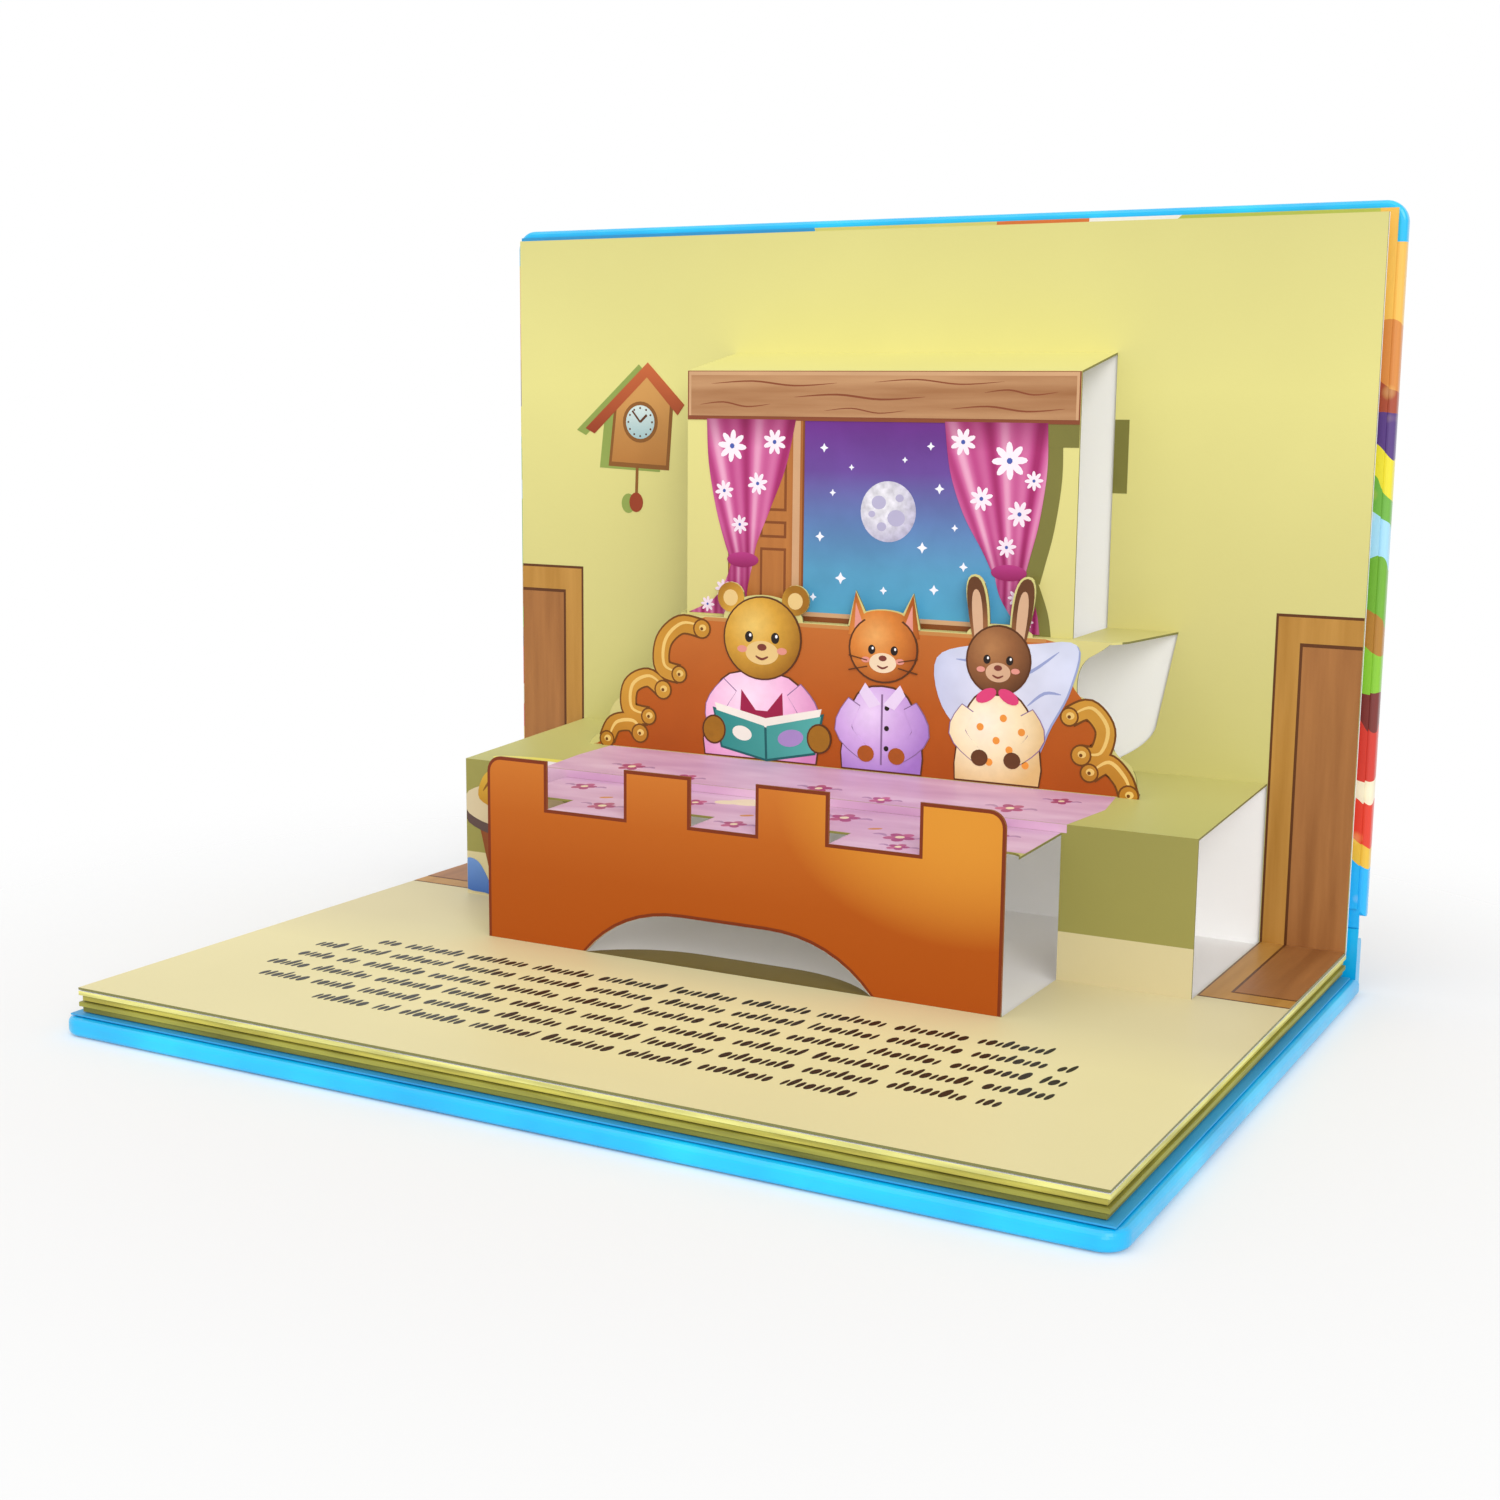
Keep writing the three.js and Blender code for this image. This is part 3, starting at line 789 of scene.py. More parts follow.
for x0, x1, z, width in ((-50, -8, 157.4, 0.5), (-54, -30, 151.2, 0.45), (-22, 20, 153.6, 0.6),
                         (4, 44, 158.0, 0.4), (28, 62, 150.6, 0.5), (-12, 14, 149.7, 0.35),
                         (38, 60, 155.2, 0.45)):
    third = (x1 - x0) / 3
    grain = sweep([(x0, z), (x0 + third, z + 0.8), (x1 - third, z - 0.5), (x1, z + 0.3)], 5)
    draw(stroke(grain, width, 0.9), board_edge, 8)
print("shutter and board,", window.count, "shapes by now")

# %% [markdown]
# ## Curtains
# The cloth is gathered at its tie, so the stripes of light and shade run together there. The ink
# bends its stripes with a wave over x that is squeezed towards the tie.

# %% Curtain ink
def curtain_ink(name, top_x, tie_x, tie_z):
    """Stripes that lean from the top of the curtain to its tie."""
    n = printed(name)
    x, z = n.axis("X"), n.axis("Z")
    rise = n.span(z, frame_z(tie_z), frame_z(147))
    middle = n.math("ADD", n.math("MULTIPLY", rise, (top_x - tie_x) * MM), tie_x * MM)
    spread = n.math("ADD", n.math("MULTIPLY", n.math("ABSOLUTE", rise), 0.8), 0.32)
    phase = n.math("DIVIDE", n.math("SUBTRACT", x, middle), spread)
    wave = n.math("SINE", n.math("MULTIPLY", phase, 900))
    second = n.math("SINE", n.math("MULTIPLY", phase, 410))
    fold = n.math("ADD", n.math("MULTIPLY", wave, 0.24), n.math("MULTIPLY", second, 0.26))
    cloth = n.ramp(n.math("ADD", fold, 0.5), "0.05 A32A68 0.35 C04C8A 0.7 D673A6 1 EBA9C8")
    shade = n.ramp(rise, "0 D8B8CC 0.25 FFFFFF 0.8 FFFFFF 1 B890A8")
    card_bump(n)
    return n.colour(n.mix(0.8, cloth, shade, "MULTIPLY"))


left_cloth = curtain_ink("curtain_left", -36, -36.5, 105)
right_cloth = curtain_ink("curtain_right", 42, 46.5, 105)
tie_ink = ink("tie_ink", "8A1450 C0408A", "Z", 102, 108)
petal = ink("petal_ink", "F2DDEC FFF4FB", "Z", 88, 147, 0.05)
petal_centre = ink("petal_centre", "4A5FB0")
print("inks of the curtains ready")

# %% Curtains
left_top = sweep([(-51.6, 147), (-50.9, 134), (-48.2, 120), (-44.6, 108.5), (-42.6, 104.6)], 5)
left_inner = sweep([(-35.2, 104.6), (-34.2, 110), (-29.5, 121), (-24.6, 133), (-21.4, 147)], 5)
left_skirt = sweep([(-42.6, 105), (-44.6, 99), (-49, 92.6), (-57.6, 88.2)])
left_hem = sweep([(-36.6, 88.2), (-37.4, 95), (-35.2, 105)])
right_inner = sweep([(42, 104.6), (38.6, 111), (32.6, 121), (28.2, 133), (26.2, 147)], 5)
right_outer = sweep([(57.2, 147), (57.4, 134), (55.6, 120), (53.2, 110), (51.8, 104.6)], 5)
right_skirt = sweep([(42.4, 105), (44.4, 98), (49, 91), (50.6, 88)])
right_hem = sweep([(56.6, 88), (55.4, 95), (51.6, 105)])
right_curtain = right_outer + right_inner
draw(moved(right_curtain, 4.4, -2.4), painted_shadow)
draw(moved(right_skirt + right_hem, 3.4, -0.6), painted_shadow)
draw(box2(57, 66.4, 140.4, 147), painted_shadow, 2)
draw(left_top + left_inner, left_cloth, 6)
draw(left_skirt + left_hem, left_cloth, 5)
draw(right_curtain, right_cloth, 6)
draw(right_skirt + right_hem, right_cloth, 5)
for x in (-38.9, 46.9):
    draw(ellipse(x, 105, 5.4, 2.3, 20), tie_ink, 7)


print("two curtains,", window.count, "shapes by now")

# %% Daisies
PETALS = 8


def daisy(x, y, size):
    for k in range(PETALS):
        a = 2 * math.pi * k / PETALS + 0.3 * size
        cx, cy = x + 0.56 * size * math.cos(a), y + 0.56 * size * math.sin(a)
        draw(ellipse(cx, cy, 0.44 * size, 0.19 * size, 10, a), petal, 7)
    draw(ellipse(x, y, 0.16 * size, 0.16 * size, 10), petal_centre, 8)


for x, y, size in ((-42.8, 139, 4.9), (-28.4, 140.4, 3.9), (-45.4, 125.6, 3.2), (-34, 128, 3.4),
                   (-40, 115.6, 2.9), (-45.6, 96, 2.8), (-51, 91, 2.4), (32, 141.4, 4.0),
                   (46.2, 136.4, 5.4), (38, 125.6, 3.6), (49.6, 121.6, 3.8), (46, 112.2, 3.0),
                   (53.6, 131, 2.8), (49.4, 98, 2.6), (52.6, 91.6, 2.2)):
    daisy(x, y, size)
window.finish()

# %% [markdown]
# ## The footboard
# It is painted as turned wood, light at the top and dark at its foot, with a dark line round its
# cut edge. The line is a first, larger shape, and the wood a second one laid inside it.

# %% Footboard
BED_LEFT, BED_RIGHT = -78.5, 78.5
NOTCH, MERLON = 39.2, 52.8
MERLONS = ((BED_LEFT, -58.3), (-33, -12), (7.9, 29.5), (55.2, BED_RIGHT))
CORNER = 4.5
ABOVE_FLOOR = 0.15


def corner(cx, cy, r, start, end, steps=6):
    angles = [start + (end - start) * k / steps for k in range(steps + 1)]
    return [(cx + r * math.cos(a), cy + r * math.sin(a)) for a in angles]


def footboard_outline(inset):
    """The outline of the footboard, drawn in from the cut edge by inset."""
    foot = ABOVE_FLOOR
    points = [(BED_LEFT + inset, foot)]
    for k, (left, right) in enumerate(MERLONS):
        left, right, top = left + inset, right - inset, MERLON - inset
        r = CORNER - inset
        if k == 0:
            points += corner(left + r, top - r, r, math.pi, math.pi / 2)
        else:
            points += [(left, NOTCH - inset), (left, top)]
        if k == len(MERLONS) - 1:
            points += corner(right - r, top - r, r, math.pi / 2, 0)
        else:
            points += [(right, top), (right, NOTCH - inset)]
    points.append((BED_RIGHT - inset, foot))
    points.append((ARCH_RIGHT + inset, foot))
    return points + arch(foot, ARCH_RISE + inset, inset)


def footboard_ink():
    """Lacquered wood, dark at the foot and golden where the light falls, near its right end."""
    n = printed("foot_wood")
    rise = n.span(n.axis("Z"), frame_z(0), frame_z(53))
    spread = n.math("ADD", off_middle(n, "X", 66 * MM, 52), off_middle(n, "Z", frame_z(50), 34))
    near = n.ramp(spread, "0 FFFFFF 1 000000")
    base = n.ramp(rise, "0 A54900 0.4 AC5003 0.7 B75D10 1 C77226")
    card_bump(n)
    return n.colour(n.mix(near, base, "D9902E"))


foot_line = ink("foot_line", "7A2E0C")
footboard = Print("footboard_print", FOOTBOARD)
footboard.add(footboard_outline(0.03), foot_line)
footboard.add(footboard_outline(0.95), footboard_ink(), 2)
footboard.finish()

# %% [markdown]
# ## The blanket
# It lies over the bed's top and runs on up to the headboard. Its ink is streaked across, and loose roses
# and pale leaves are scattered on it.

# %% Blanket
def blanket_ink():
    n = printed("blanket_lilac")
    card_bump(n)
    streak = n.noise(110, (0.3, 1, 1), 2.0)
    return n.colour(n.ramp(streak, "0.25 C89ABB 0.5 D6ACC8 0.75 E4C2D8"))


lilac = blanket_ink()
rose = ink("rose_ink", "C8648E", mottle=0.2)
rose_dark = ink("rose_dark", "AC4A7C")
cream = ink("cream_patch", "F3E3BE")
rose_leaf = ink("rose_leaf", "B58AAE")
amber = ink("amber_patch", "D08A3E")

bed_back = Print("blanket_back_print", SHELF_TOP)
blanket_back = [(-86, -66.9), (80, -66.9), (84, -48), (82, -33.2), (-84, -33.2), (-86, -48)]
bed_back.add(blanket_back, lilac)
bed_front = Print("blanket_front_print", BED_TOP)
HOLE_BACK = ARCH_RISE - FOOT_DEPTH
bed_front.add(box2(BED_LEFT + 0.1, BED_RIGHT - 0.1, HOLE_BACK, -67.1), lilac)
for (_, left), (right, _) in zip(MERLONS, MERLONS[1:]):
    bed_front.add(box2(left + 0.05, right - 0.05, -106.9, HOLE_BACK), lilac)
print("blanket,", bed_back.count, "shape on the shelf and", bed_front.count, "on the bed")


# %% Roses and patches
def rose_motif(piece, x, y, size, turn_by):
    """Loose petals round a pale middle, longer to the back, as the panel is seen from low down."""
    size *= 0.95
    for k in range(5):
        a = turn_by + 2 * math.pi * k / 5
        middle = (x + 0.75 * size * math.cos(a), y + 0.9 * size * math.sin(a))
        petal_shape = ellipse(*middle, 0.62 * size, 0.5 * size, 14, a)
        piece.add(petal_shape, rose if k % 2 else rose_dark, 2)
    for side in (-1, 1):
        leaf = [(x + side * 1.2 * size, y), (x + side * 1.9 * size, y + 0.5 * size),
                (x + side * 2.5 * size, y + 0.2 * size)]
        piece.add(stroke(sweep(leaf, 3), 0.5 * size, 0.8), rose_leaf, 2)
    piece.add(ellipse(x, y, 0.4 * size, 0.42 * size, 12), cream, 3)


for x, y, size, turn_by in ((-62, -56, 3.2, 0.3), (-40, -62, 2.8, -0.2), (2, -58, 3.0, 0.5),
                            (24, -63, 2.6, 0.1), (60, -57, 3.2, -0.3), (70, -44, 2.4, 0.2)):
    rose_motif(bed_back, x, y, size, turn_by)
for x, y, size, turn_by in ((-66, -76, 3.0, 0.2), (-47, -96, 3.2, 0.1), (-26, -80, 2.6, -0.4),
                            (20, -78, 3.4, 0.3), (43, -92, 3.4, -0.1), (64, -78, 3.0, 0.2),
                            (-3, -99, 2.8, 0.3), (47, -102, 2.4, 0.2)):
    rose_motif(bed_front, x, y, size, turn_by)
for x, y, rx in ((-12, -73, 6.5), (-4, -75.4, 4.2), (-18, -75.6, 3.8)):
    bed_front.add(ellipse(x, y, rx, rx * 0.62, 16, 0.25), cream, 2.5)
for x, y in ((-5, -88), (33, -86), (-52, -86)):
    bed_front.add(ellipse(x, y, 2.0, 0.9, 10, 0.6), amber, 2.5)
bed_front.finish()

shelf_front = Print("shelf_front_print", SHELF_FRONT)
draw = shelf_front.add
for hem in (box2(-86, 80, 40.28, 42.56), box2(-86, -78.6, 36, 40.4)):
    draw(hem, lilac)

# %% [markdown]
# ## The bedside table
# A little round table is printed on the shelf's front at the left, with a folded cloth on it, a
# slipper beside its leg and a pool of light behind it on the shelf's top.

# %% Bedside table
table_wood = ink("table_wood", "7E3F1C A8612F", "X", -116, -88)
table_top = ink("table_top", "D9C8A6 C2AA84", "X", -116, -88)
table_rim = ink("table_rim", "5C4744")
gold_cloth = ink("gold_cloth", "B97F1E D9AE3E", "Z", 27, 41)
cloth_fold = ink("cloth_fold", "8A5A14")
blue_slipper = ink("blue_slipper", "3E68B4 6C93D2", "Z", 0, 11)
lamp_yellow = ink("lamp_yellow", "EADF62")
lamp_white = ink("lamp_white", "F4EEF2")
bed_back.add(ellipse(-88, -61.5, 21, 4.4, 28), lamp_yellow, 0.6)
bed_back.add(ellipse(-92, -63, 15, 2.6, 24), lamp_white, 0.8)
bed_back.finish()

SHELF_LEFT = -115.3


def inside_shelf(outline):
    return [(max(x, SHELF_LEFT), y) for x, y in outline]


draw([(-110.6, 22), (-95, 22), (-96.5, 0.6), (-105.6, 2.2)], table_wood)
draw([(-107.4, 21), (-106.2, 21), (-103.4, 2), (-104, 2)], deep_line, 2)
draw(inside_shelf(ellipse(-97, 26.4, 20.4, 7.6, 36)), table_rim, 3)
draw(inside_shelf(ellipse(-97, 29, 20, 7.2, 36)), table_top, 4)
draw(smooth([(-110.4, 30.4), (-101, 27.4), (-96, 30), (-98, 38), (-104, 40.4), (-109, 37.4)], 5),
                gold_cloth, 5)
for fold in ([(-109, 33), (-106, 36.6), (-102, 38.4)], [(-106, 30.6), (-103, 33.4), (-99, 35)]):
    draw(stroke(sweep(fold), 0.9, 0.8), cloth_fold, 6)
slipper = smooth(
    [(-116.4, 2), (-109, 0.8), (-106, 1), (-108.6, 7), (-112, 10.8), (-116.4, 10.4)], 5,
)
draw(inside_shelf(slipper), blue_slipper, 4)
shelf_front.finish()

# %% [markdown]
# ## The headboard
# Its board is shaded from light at the top to dark at the foot, and gold scrolls run down both
# sides. Behind the toys there is a pillow.

# %% Headboard
board_ink = ink("headboard_wood", "A84C06 B65A16 C4702E", "Z", 42, 88, 0.05)
rail_ink = ink("rail_ink", "C98A4A")
gold = ink("gold_scroll", "B87A1E D29A38 C48A2C", "Z", 42, 88, 0.1)
gold_light = ink("gold_light", "ECC873")
gold_line = ink("gold_line", "70410F")
pillow_ink = ink("pillow_ink", "C3CCEC E6EAF8 D6DDF4", "X", 18, 72, 0.12)
pillow_line = ink("pillow_line", "9AA6D0")

headboard = Print("headboard_print", HEADBOARD)
draw = headboard.add
left_side = sweep([(-89, 45), (-81, 51), (-77, 60), (-69, 68), (-63.4, 76), (-56, 85.5)])
right_side = sweep([(66, 86), (67.4, 76), (74.6, 67), (78, 58), (84, 46.5)])
top_line = left_side + [(-50, 87.2), (60, 87.2)] + right_side
draw([(-90.4, 44.7)] + top_line + [(86.4, 44.7)], board_ink)
draw(box2(-50, 60, 86.2, 87.3), rail_ink, 2)
print("board of the headboard,", len(top_line), "points along its top")

# %% Scrolls and pillow
SCROLL_WIDTH = 5.2


def scroll(points, width=SCROLL_WIDTH):
    curve = sweep(points, 6)
    draw(stroke(curve, width + 1.1), gold_line, 3)
    draw(stroke(curve, width, 0.05), gold, 4)
    draw(stroke(moved(curve, 0.7, 0.6), 1.1, 0.8), gold_light, 5)
    for (x, y), size in ((points[0], 0.54), (points[-1], 0.6)):
        rim, knob, eye = width * size, width * (size - 0.1), width * 0.1
        draw(ellipse(x, y, rim, rim, 18), gold_line, 5)
        draw(ellipse(x, y, knob, knob, 18), gold, 6)
        draw(ellipse(x + 0.3, y + 0.3, width * 0.24, width * 0.2, 12), gold_light, 7)
        draw(ellipse(x, y, eye, eye, 10), gold_line, 8)


scroll([(-85.4, 46.6), (-82.6, 51.6), (-76.4, 52.6), (-73.2, 49.4)])
scroll([(-70, 55), (-76.8, 56.6), (-76.6, 64), (-70.4, 67.2), (-64.8, 63.8)])
scroll([(-59, 69), (-65, 71), (-64.6, 79), (-58.6, 84.4), (-51, 83.6)])
scroll([(67.6, 66), (73.4, 68.4), (78.2, 63), (76.4, 56), (71.4, 55.4)])
scroll([(74, 50.6), (79, 53.6), (83.6, 49.8), (85.6, 45.2)])
pillow_shape = smooth(
    [(27, 80), (40, 84.6), (55, 85.6), (69, 86.2), (67.4, 74), (62, 63), (55.6, 52), (40, 56), (29, 66)],
    5,
)
draw(moved(pillow_shape, 0.5, -0.4), pillow_line, 4)
draw(pillow_shape, pillow_ink, 5)
PILLOW_FOLDS = (
    [(64, 84), (56, 78), (50, 76)],
    [(65, 72), (60, 72), (55, 68)],
    [(33, 80), (40, 80), (45, 83)],
)
for fold in PILLOW_FOLDS:
    draw(stroke(sweep(fold), 0.9, 0.8), pillow_line, 6)
print("scrolls and pillow,", headboard.count, "shapes by now")

# %% [markdown]
# ## Three soft toys in bed
# The die-cut heads stand up above the headboard's fold. The print dresses them as three stuffed
# toys: a bear, a cat and a rabbit, with a picture book in front. Each has its own body, ears and
# head, and they share the arms and a plain face.

# %% Inks of the toys
outline_ink = ink("toy_outline", "5A3215")
bear_fur = round_ink("bear_fur", "F0CB6C D9A53C A06C1A", -30, 82, 12.5)
bear_light = ink("bear_light", "EBCB86")
cat_fur = round_ink("cat_fur", "F0AE62 DC8638 A9561A", 10, 82, 10.5)
cat_light = ink("cat_light", "F4DDB8")
rabbit_fur = round_ink("rabbit_fur", "B98250 946038 643C20", 46, 81, 10)
rabbit_light = ink("rabbit_light", "D9B08C")
eye_ink = ink("eye_ink", "20150E", mottle=0.0)
shine_ink = ink("shine_ink", "FFFFFF", mottle=0.0)
nose_ink = ink("nose_ink", "7A3A2E")
blush = ink("blush_ink", "E79A8A")
pink_cloth = round_ink("pink_cloth", "FFE6F5 F6BEDF D486B8", -30, 58, 20, 0.03)
wine_cloth = ink("wine_cloth", "9C1E46")
lilac_cloth = round_ink("lilac_cloth", "EFD8F8 D2ACE4 A377C4", 10, 58, 15, 0.03)
cream_cloth = round_ink("cream_cloth", "FFF8DE FAE9BC DDB878", 46, 58, 15, 0.03)
dot_ink = ink("dot_ink", "F09A3E")
ribbon = ink("ribbon_ink", "E0457A")
fold_ink = ink("fold_ink", "8A6A94")
lilac_light = ink("lilac_light", "EEDCF6")
print("inks of the toys ready")

# %% Bodies, arms and faces
CREASE = 87.5
LAP = 45.3


def rimmed(outline, rim, fill, layer, grow=0.55):
    """A filled shape with a darker rim round it."""
    cx = sum(p[0] for p in outline) / len(outline)
    cy = sum(p[1] for p in outline) / len(outline)
    larger = []
    for x, y in outline:
        reach = math.hypot(x - cx, y - cy) or 1.0
        larger.append((x + (x - cx) / reach * grow, y + (y - cy) / reach * grow))
    draw(larger, rim, layer)
    draw(outline, fill, layer + 1)


def body(left, right, sides, cloth):
    """From the lap up over the shoulders and down again."""
    rimmed([(right, LAP), (left, LAP)] + sweep(sides), outline_ink, cloth, 6)


def arms(x, bends, width, taper, cloth, layer):
    """Both arms, from shoulder to hand, as places beside the middle x."""
    for side in (-1, 1):
        arm = sweep([(x + side * out, y) for out, y in bends])
        rimmed(stroke(arm, width, taper), fold_ink, cloth, layer, 0.3)
        yield x + side * 5


def face(x, y, size, light, wide=1.0):
    """A plain stuffed face: a muzzle, two bead eyes, cheeks and a stitched nose."""
    def spot(dx, dy, rx, ry, steps, paint, layer):
        draw(ellipse(x + dx * size, y + dy * size, rx * size, ry * size, steps), paint, layer)

    spot(0, -0.32, 0.46 * wide, 0.34, 28, light, 12)
    for side in (-1, 1):
        spot(0.42 * side, 0.12, 0.13, 0.16, 14, eye_ink, 13)
        spot(0.42 * side + 0.04, 0.17, 0.04, 0.05, 8, shine_ink, 14)
        spot(0.64 * side, -0.24, 0.16, 0.1, 12, blush, 13)
    spot(0, -0.16, 0.15, 0.1, 12, nose_ink, 14)
    corner_y, dip = y - 0.42 * size, 0.2 * size
    smile = [(x - dip, corner_y), (x, y - 0.5 * size), (x + dip, corner_y)]
    draw(stroke(sweep(smile), 0.07 * size, 0.5), nose_ink, 14)


print("toys sit down to", LAP, "and their heads rise over", CREASE)

# %% The rabbit
rabbit_sides = [(33.4, 50), (35.4, 62), (41, 70.6), (51, 70.6), (57.4, 62), (59.6, 50)]
body(33.6, 59, rabbit_sides, cream_cloth)
for x, y in ((38, 54), (44, 51), (50, 55), (55, 51), (41, 61), (48, 64), (53.6, 60.4), (46, 57.4)):
    draw(ellipse(x, y, 1.1, 1.1, 12), dot_ink, 8)
for foot_x, tip_x in ((40.5, 38), (51.5, 54)):
    tip = (tip_x, CREASE + 16.4)
    ear = bend((foot_x - 2, 84), (tip_x - 4.5, tip[1]), tip)
    ear += bend(tip, (tip_x + 4.5, tip[1]), (foot_x + 2, 84))[1:]
    draw(ear, rabbit_fur, 7)
    shift = (tip_x - foot_x) * 0.2
    inner_ear = [(foot_x + (x - foot_x) * 0.55 + shift, 86 + (y - 86) * 0.8) for x, y in ear]
    draw(inner_ear, rabbit_light, 8)
for paw_x in arms(46, ((9, 66), (12, 59), (6, 52.6)), 5.0, 0.2, cream_cloth, 8):
    draw(ellipse(paw_x, 52, 2.6, 2.4, 16), rabbit_fur, 10)
rimmed(ellipse(46, 80.4, 9.4, 9.6, 32), outline_ink, rabbit_fur, 8)
face(46, 79.6, 8.2, rabbit_light)
for bow_x, turn_by in ((42.6, 0.5), (49.4, -0.5)):
    draw(ellipse(bow_x, 70.2, 3.4, 1.8, 14, turn_by), ribbon, 12)
print("rabbit,", headboard.count, "shapes by now")

# %% The cat
body(-2.6, 22.6, [(-3, 50), (-1, 60), (4, 69), (16, 69), (21.4, 60), (23, 50)], lilac_cloth)
draw(stroke([(10, 68), (10, 47)], 0.6), fold_ink, 8)
draw([(4.4, 71), (9.6, 65), (6, 63.6), (2.6, 68)], lilac_light, 9)
draw([(15.6, 71), (10.4, 65), (14, 63.6), (17.4, 68)], lilac_light, 9)
for paw_x in arms(10, ((9, 65), (12.4, 57), (6, 50.4)), 5.4, 0.2, lilac_cloth, 9):
    draw(ellipse(paw_x, 50, 2.7, 2.5, 16), cat_fur, 11)
for y in (52, 58, 64):
    draw(ellipse(11.6, y, 0.8, 0.8, 10), eye_ink, 8)
for x, lean in ((2.4, -1.6), (17.6, 1.6)):
    draw([(x - 3.8, 85), (x + lean, CREASE + 10), (x + 3.8, 85)], cat_fur, 7)
    draw([(x - 1.8, 86), (x + lean * 0.9, CREASE + 7), (x + 1.8, 86)], blush, 8)
rimmed(ellipse(10, 81.4, 10.6, 9.6, 32), outline_ink, cat_fur, 8)
draw(ellipse(10, 90.6, 6.8, 2.0, 20), cat_fur, 10)
face(10, 80, 8.6, cat_light, 1.1)
for side in (-1, 1):
    for dy in (-1.4, 0.4):
        whisker = [(10 + side * 5, 77.4 + dy), (10 + side * 11, 78 + dy * 2.4)]
        draw(stroke(whisker, 0.3), outline_ink, 15)
print("cat,", headboard.count, "shapes by now")

# %% The bear
bear_sides = [(-50, 50), (-47.6, 60), (-41, 70.4), (-21, 70.4), (-13.4, 60), (-11, 50)]
body(-49.4, -11.6, bear_sides, pink_cloth)
draw([(-38, 47), (-37, 66), (-32, 60), (-28, 60), (-23, 66), (-22, 47)], wine_cloth, 8)
for x in (-41, -19):
    draw(ellipse(x, CREASE + 6.4, 4.5, 4.5, 24), bear_fur, 7)
    draw(ellipse(x, CREASE + 6.2, 2.5, 2.5, 16), bear_light, 8)
list(arms(-30, ((11, 67), (16, 60), (15, 52.6)), 6.6, 0.15, pink_cloth, 8))
rimmed(ellipse(-30, 82, 12.8, 12.2, 36), outline_ink, bear_fur, 10, 0.5)
face(-30, 81, 10.6, bear_light, 1.15)
print("bear,", headboard.count, "shapes by now")

# %% A picture book in the bear's paws
teal = ink("teal_cover", "2E8C86 58B2A8", "X", -46, -6)
teal_line = ink("teal_line", "1F5F60")
page_ink = ink("page_ink", "F4F0E2")
mauve = ink("mauve_patch", "A98CC6")
draw([(-47, 60), (-28.6, 56), (-28, 44.6), (-44, 47.6)], teal_line, 9)
draw([(-28.6, 56), (-9, 60.6), (-11.6, 48), (-28, 44.6)], teal_line, 9)
draw([(-46.2, 61.4), (-28.6, 57.8), (-28.4, 55), (-45.4, 58.6)], page_ink, 9)
draw([(-28.6, 57.8), (-9.8, 62), (-10.4, 59), (-28.4, 55)], page_ink, 9)
draw([(-46.2, 59.2), (-29, 55.4), (-28.6, 45.4), (-43.4, 48.2)], teal, 10)
draw([(-28.2, 55.4), (-9.8, 59.8), (-12.2, 48.6), (-27.8, 45.4)], teal, 10)
draw(ellipse(-20, 52.4, 4.4, 2.6, 18, 0.2), mauve, 11)
draw(ellipse(-36.6, 52.6, 3.4, 2.2, 18, -0.2), page_ink, 11)
for paw_x in (-46.4, -10.4):
    rimmed(ellipse(paw_x, 53, 3.6, 4.0, 20), outline_ink, bear_fur, 11)
headboard.finish()

# %% [markdown]
# ## The hinges' wrap
# The film that covers the case runs on from board to board in one sheet. At the groove between the spine
# and the standing cover a thin strip of it lies over the joint, cut across in many places.

# %% Wrap strips over the hinges
def strip(name, low, high, cuts, axis, material):
    """A thin bar, cut across into a given number of equal pieces along one axis."""
    mesh = bmesh.new()
    bmesh.ops.create_cube(mesh, size=1.0)
    size = high - low
    bmesh.ops.scale(mesh, verts=mesh.verts, vec=size)
    bmesh.ops.translate(mesh, verts=mesh.verts, vec=(low + high) / 2)
    for k in range(1, cuts):
        place = low.copy()
        place[axis] = low[axis] + size[axis] * k / cuts
        normal = Vector((0, 0, 0))
        normal[axis] = 1
        everything = mesh.verts[:] + mesh.edges[:] + mesh.faces[:]
        bmesh.ops.bisect_plane(mesh, geom=everything, plane_co=place, plane_no=normal)
    data = bpy.data.meshes.new(name)
    mesh.to_mesh(data)
    mesh.free()
    piece = bpy.data.objects.new(name, data)
    scene.collection.objects.link(piece)
    data.materials.append(material)
    print(name, len(data.polygons), "faces")
    return piece


HALF_WRAP, HALF_BEND = 2.6 * MM, 1.6 * MM
cover_joint = next(joint for joint in frame["joints"] if joint["name"] == "cover_hinge")
_, axis_y, axis_z = cover_joint["pos_m"]
spine_low, spine_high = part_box("spine")
top_wrap = strip(
    "top_hinge_wrap",
    Vector((spine_low.x, axis_y + 0.02 * MM, axis_z - HALF_WRAP)),
    Vector((spine_high.x, axis_y + 0.3 * MM, axis_z + HALF_WRAP)),
    16, 2, nodes["spine"].data.materials[0],
)
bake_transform(top_wrap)

# %% [markdown]
# ## The fold of the next leaf
# The leaf behind the scene turns at the gutter into the topmost closed leaf. Its fold is a strip
# of the same white card, seen at the back of the folded boxes.

# %% Fold at the gutter
leaf_low, leaf_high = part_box("standing_leaf")
block_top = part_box("closed_leaves")[1].z
fold_strip = strip(
    "leaf_fold",
    Vector((leaf_low.x, leaf_low.y - 0.05 * MM, block_top - 0.2 * MM)),
    Vector((leaf_high.x, leaf_low.y + 0.3 * MM, leaf_low.z + 0.2 * MM)),
    1, 0, nodes["standing_leaf"].data.materials[0],
)
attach(fold_strip, "back_half")

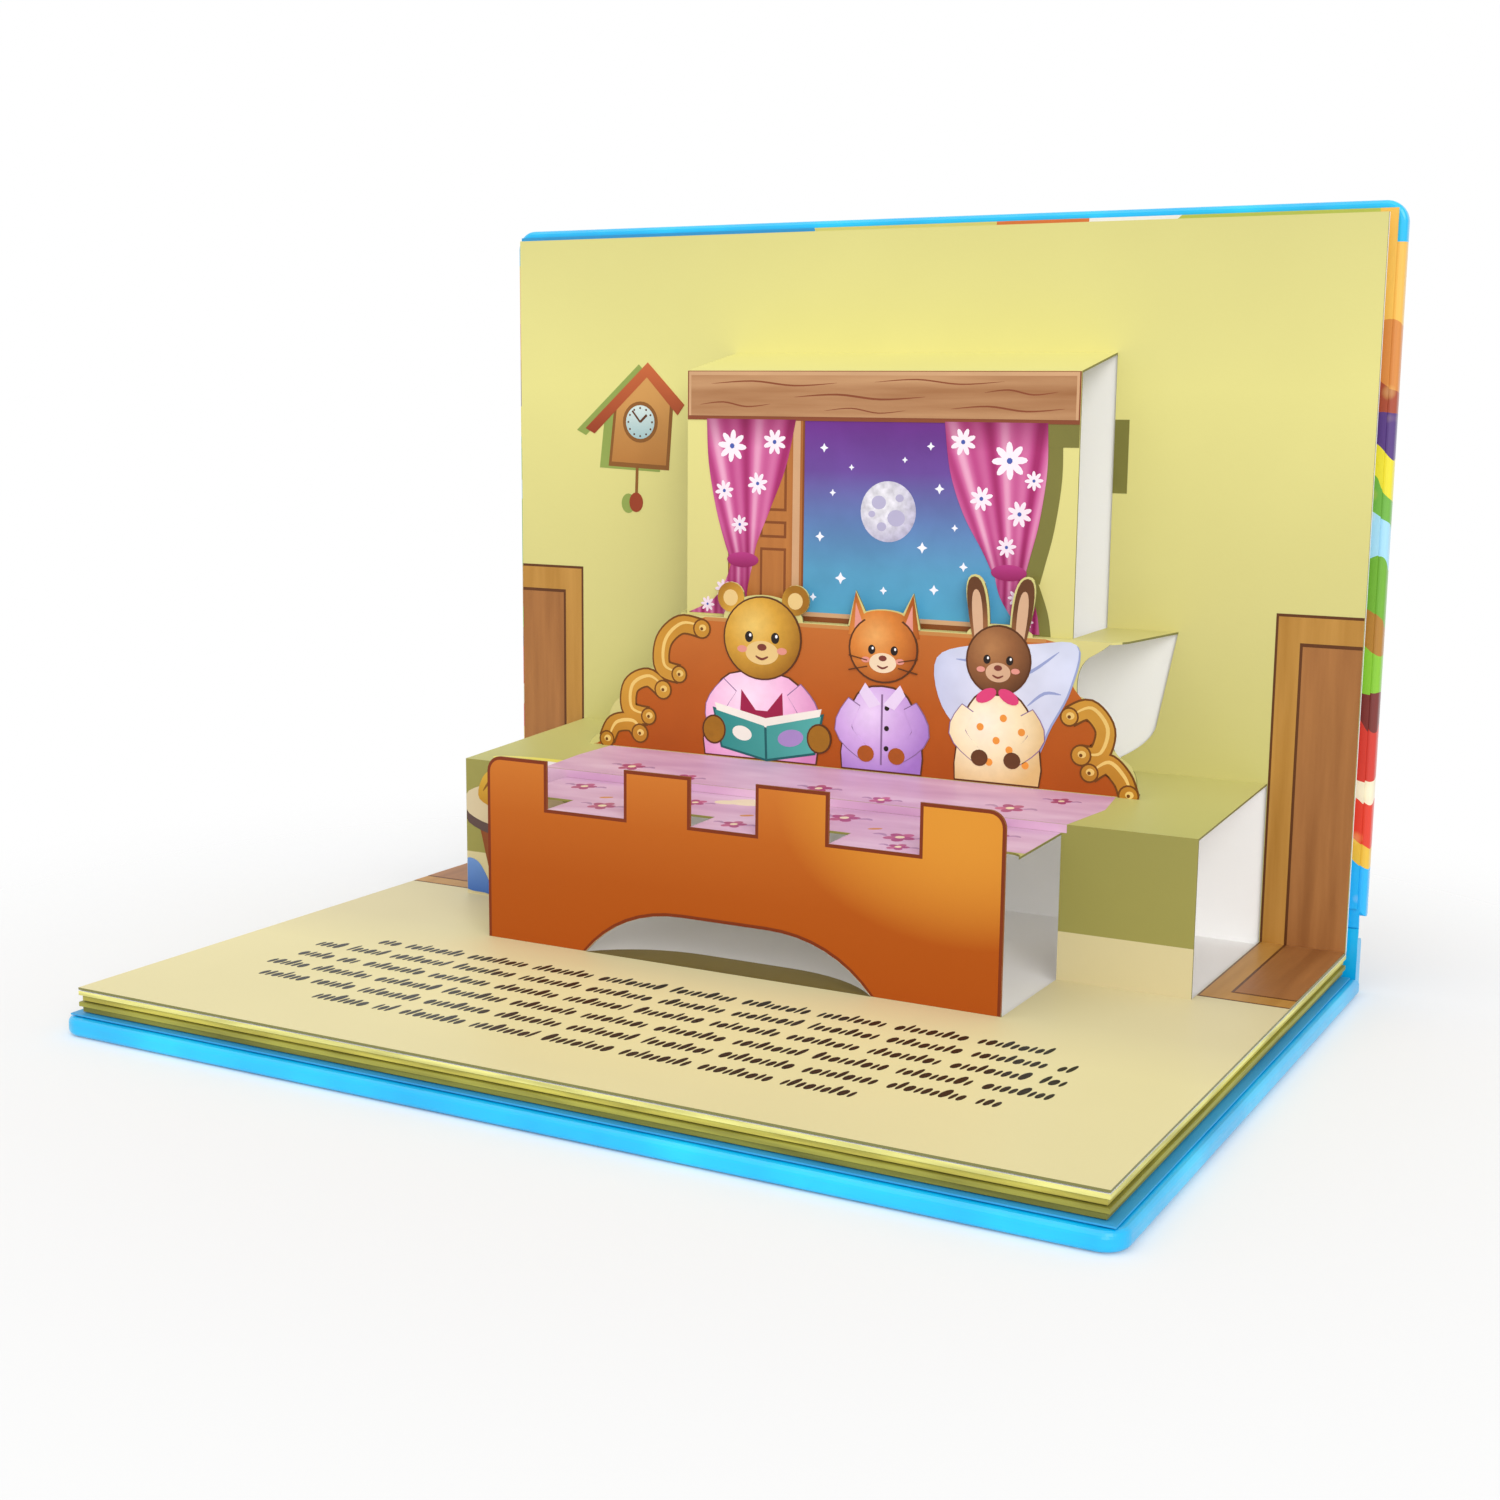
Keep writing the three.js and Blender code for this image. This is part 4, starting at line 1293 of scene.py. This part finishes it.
# %% [markdown]
# ## Floor and light
# The book stands on a white table that fades into a white background. The light is plain and
# soft, so that a colour shows about as it was mixed.

# %% Node trees without a Principled shader
def emptied(owner):
    owner.use_nodes = True
    owner.node_tree.nodes.clear()
    return owner.node_tree


def added(tree, kind, **sockets):
    return set_sockets(tree.nodes.new("ShaderNode" + kind), **sockets)


def link_all(tree, *pairs):
    for out, into in pairs:
        tree.links.new(out, into)
    print(len(tree.nodes), "nodes,", len(tree.links), "links")


# %% Table
TABLE_WHITE = (0.94, 0.94, 0.94, 1)
FADE_FROM, FADE_TO = 0.13, 0.36
table_mesh = bmesh.new()
bmesh.ops.create_circle(table_mesh, cap_ends=True, segments=96, radius=2.0)
table_data = bpy.data.meshes.new("table_floor")
table_mesh.to_mesh(table_data)
table_mesh.free()
table = bpy.data.objects.new("table_floor", table_data)
table.location.z = -0.0002
scene.collection.objects.link(table)
table_material = bpy.data.materials.new("table_white")
tree = emptied(table_material)
paint = added(tree, "BsdfDiffuse", Color=TABLE_WHITE)
clear = added(tree, "BsdfTransparent")
fade = added(tree, "MixShader")
distance = added(tree, "VectorMath")
distance.operation = "LENGTH"
fade_range = added(tree, "MapRange", From_Min=FADE_FROM, From_Max=FADE_TO)
fade_range.interpolation_type = "SMOOTHSTEP"
link_all(
    tree,
    (added(tree, "TexCoord").outputs["Object"], distance.inputs[0]),
    (distance.outputs["Value"], fade_range.inputs["Value"]),
    (fade_range.outputs["Result"], fade.inputs["Fac"]),
    (paint.outputs[0], fade.inputs[1]),
    (clear.outputs[0], fade.inputs[2]),
    (fade.outputs[0], added(tree, "OutputMaterial").inputs["Surface"]),
)
table_data.materials.append(table_material)

# %% World
WHITE = (1, 1, 1, 1)
SOFT_STRENGTH = 0.57
world = bpy.data.worlds.new("studio")
scene.world = world
tree = emptied(world)
seen = added(tree, "Background", Color=WHITE, Strength=1.0)
soft = added(tree, "Background", Color=WHITE, Strength=SOFT_STRENGTH)
choose = added(tree, "MixShader")
path = added(tree, "LightPath").outputs
shiny, bright = added(tree, "Math"), added(tree, "Math")
for larger in (shiny, bright):
    larger.operation = "MAXIMUM"
link_all(
    tree,
    (path["Is Glossy Ray"], shiny.inputs[0]),
    (path["Is Transmission Ray"], shiny.inputs[1]),
    (path["Is Camera Ray"], bright.inputs[0]),
    (shiny.outputs[0], bright.inputs[1]),
    (bright.outputs[0], choose.inputs["Fac"]),
    (soft.outputs[0], choose.inputs[1]),
    (seen.outputs[0], choose.inputs[2]),
    (choose.outputs[0], added(tree, "OutputWorld").inputs["Surface"]),
)

# %% Lamps
LAMP_TARGET = Vector((0, 0, 0.05))
LAMPS = (
    ("key", (0.95, -1.0, 0.78), 1.25, 35),
    ("front_fill", (0.62, -1.1, 0.3), 0.6, 30),
    ("top_fill", (-0.3, -0.5, 1.4), 0.7, 60),
)
for name, place, strength, angle in LAMPS:
    lamp_data = bpy.data.lights.new(name, "SUN")
    lamp_data.energy = strength
    lamp_data.angle = math.radians(angle)
    lamp = bpy.data.objects.new(name, lamp_data)
    aim = LAMP_TARGET - Vector(place)
    lamp.rotation_euler = aim.to_track_quat("-Z", "Y").to_euler()
    lamp.location = place
    scene.collection.objects.link(lamp)
print(len(LAMPS), "soft lamps")
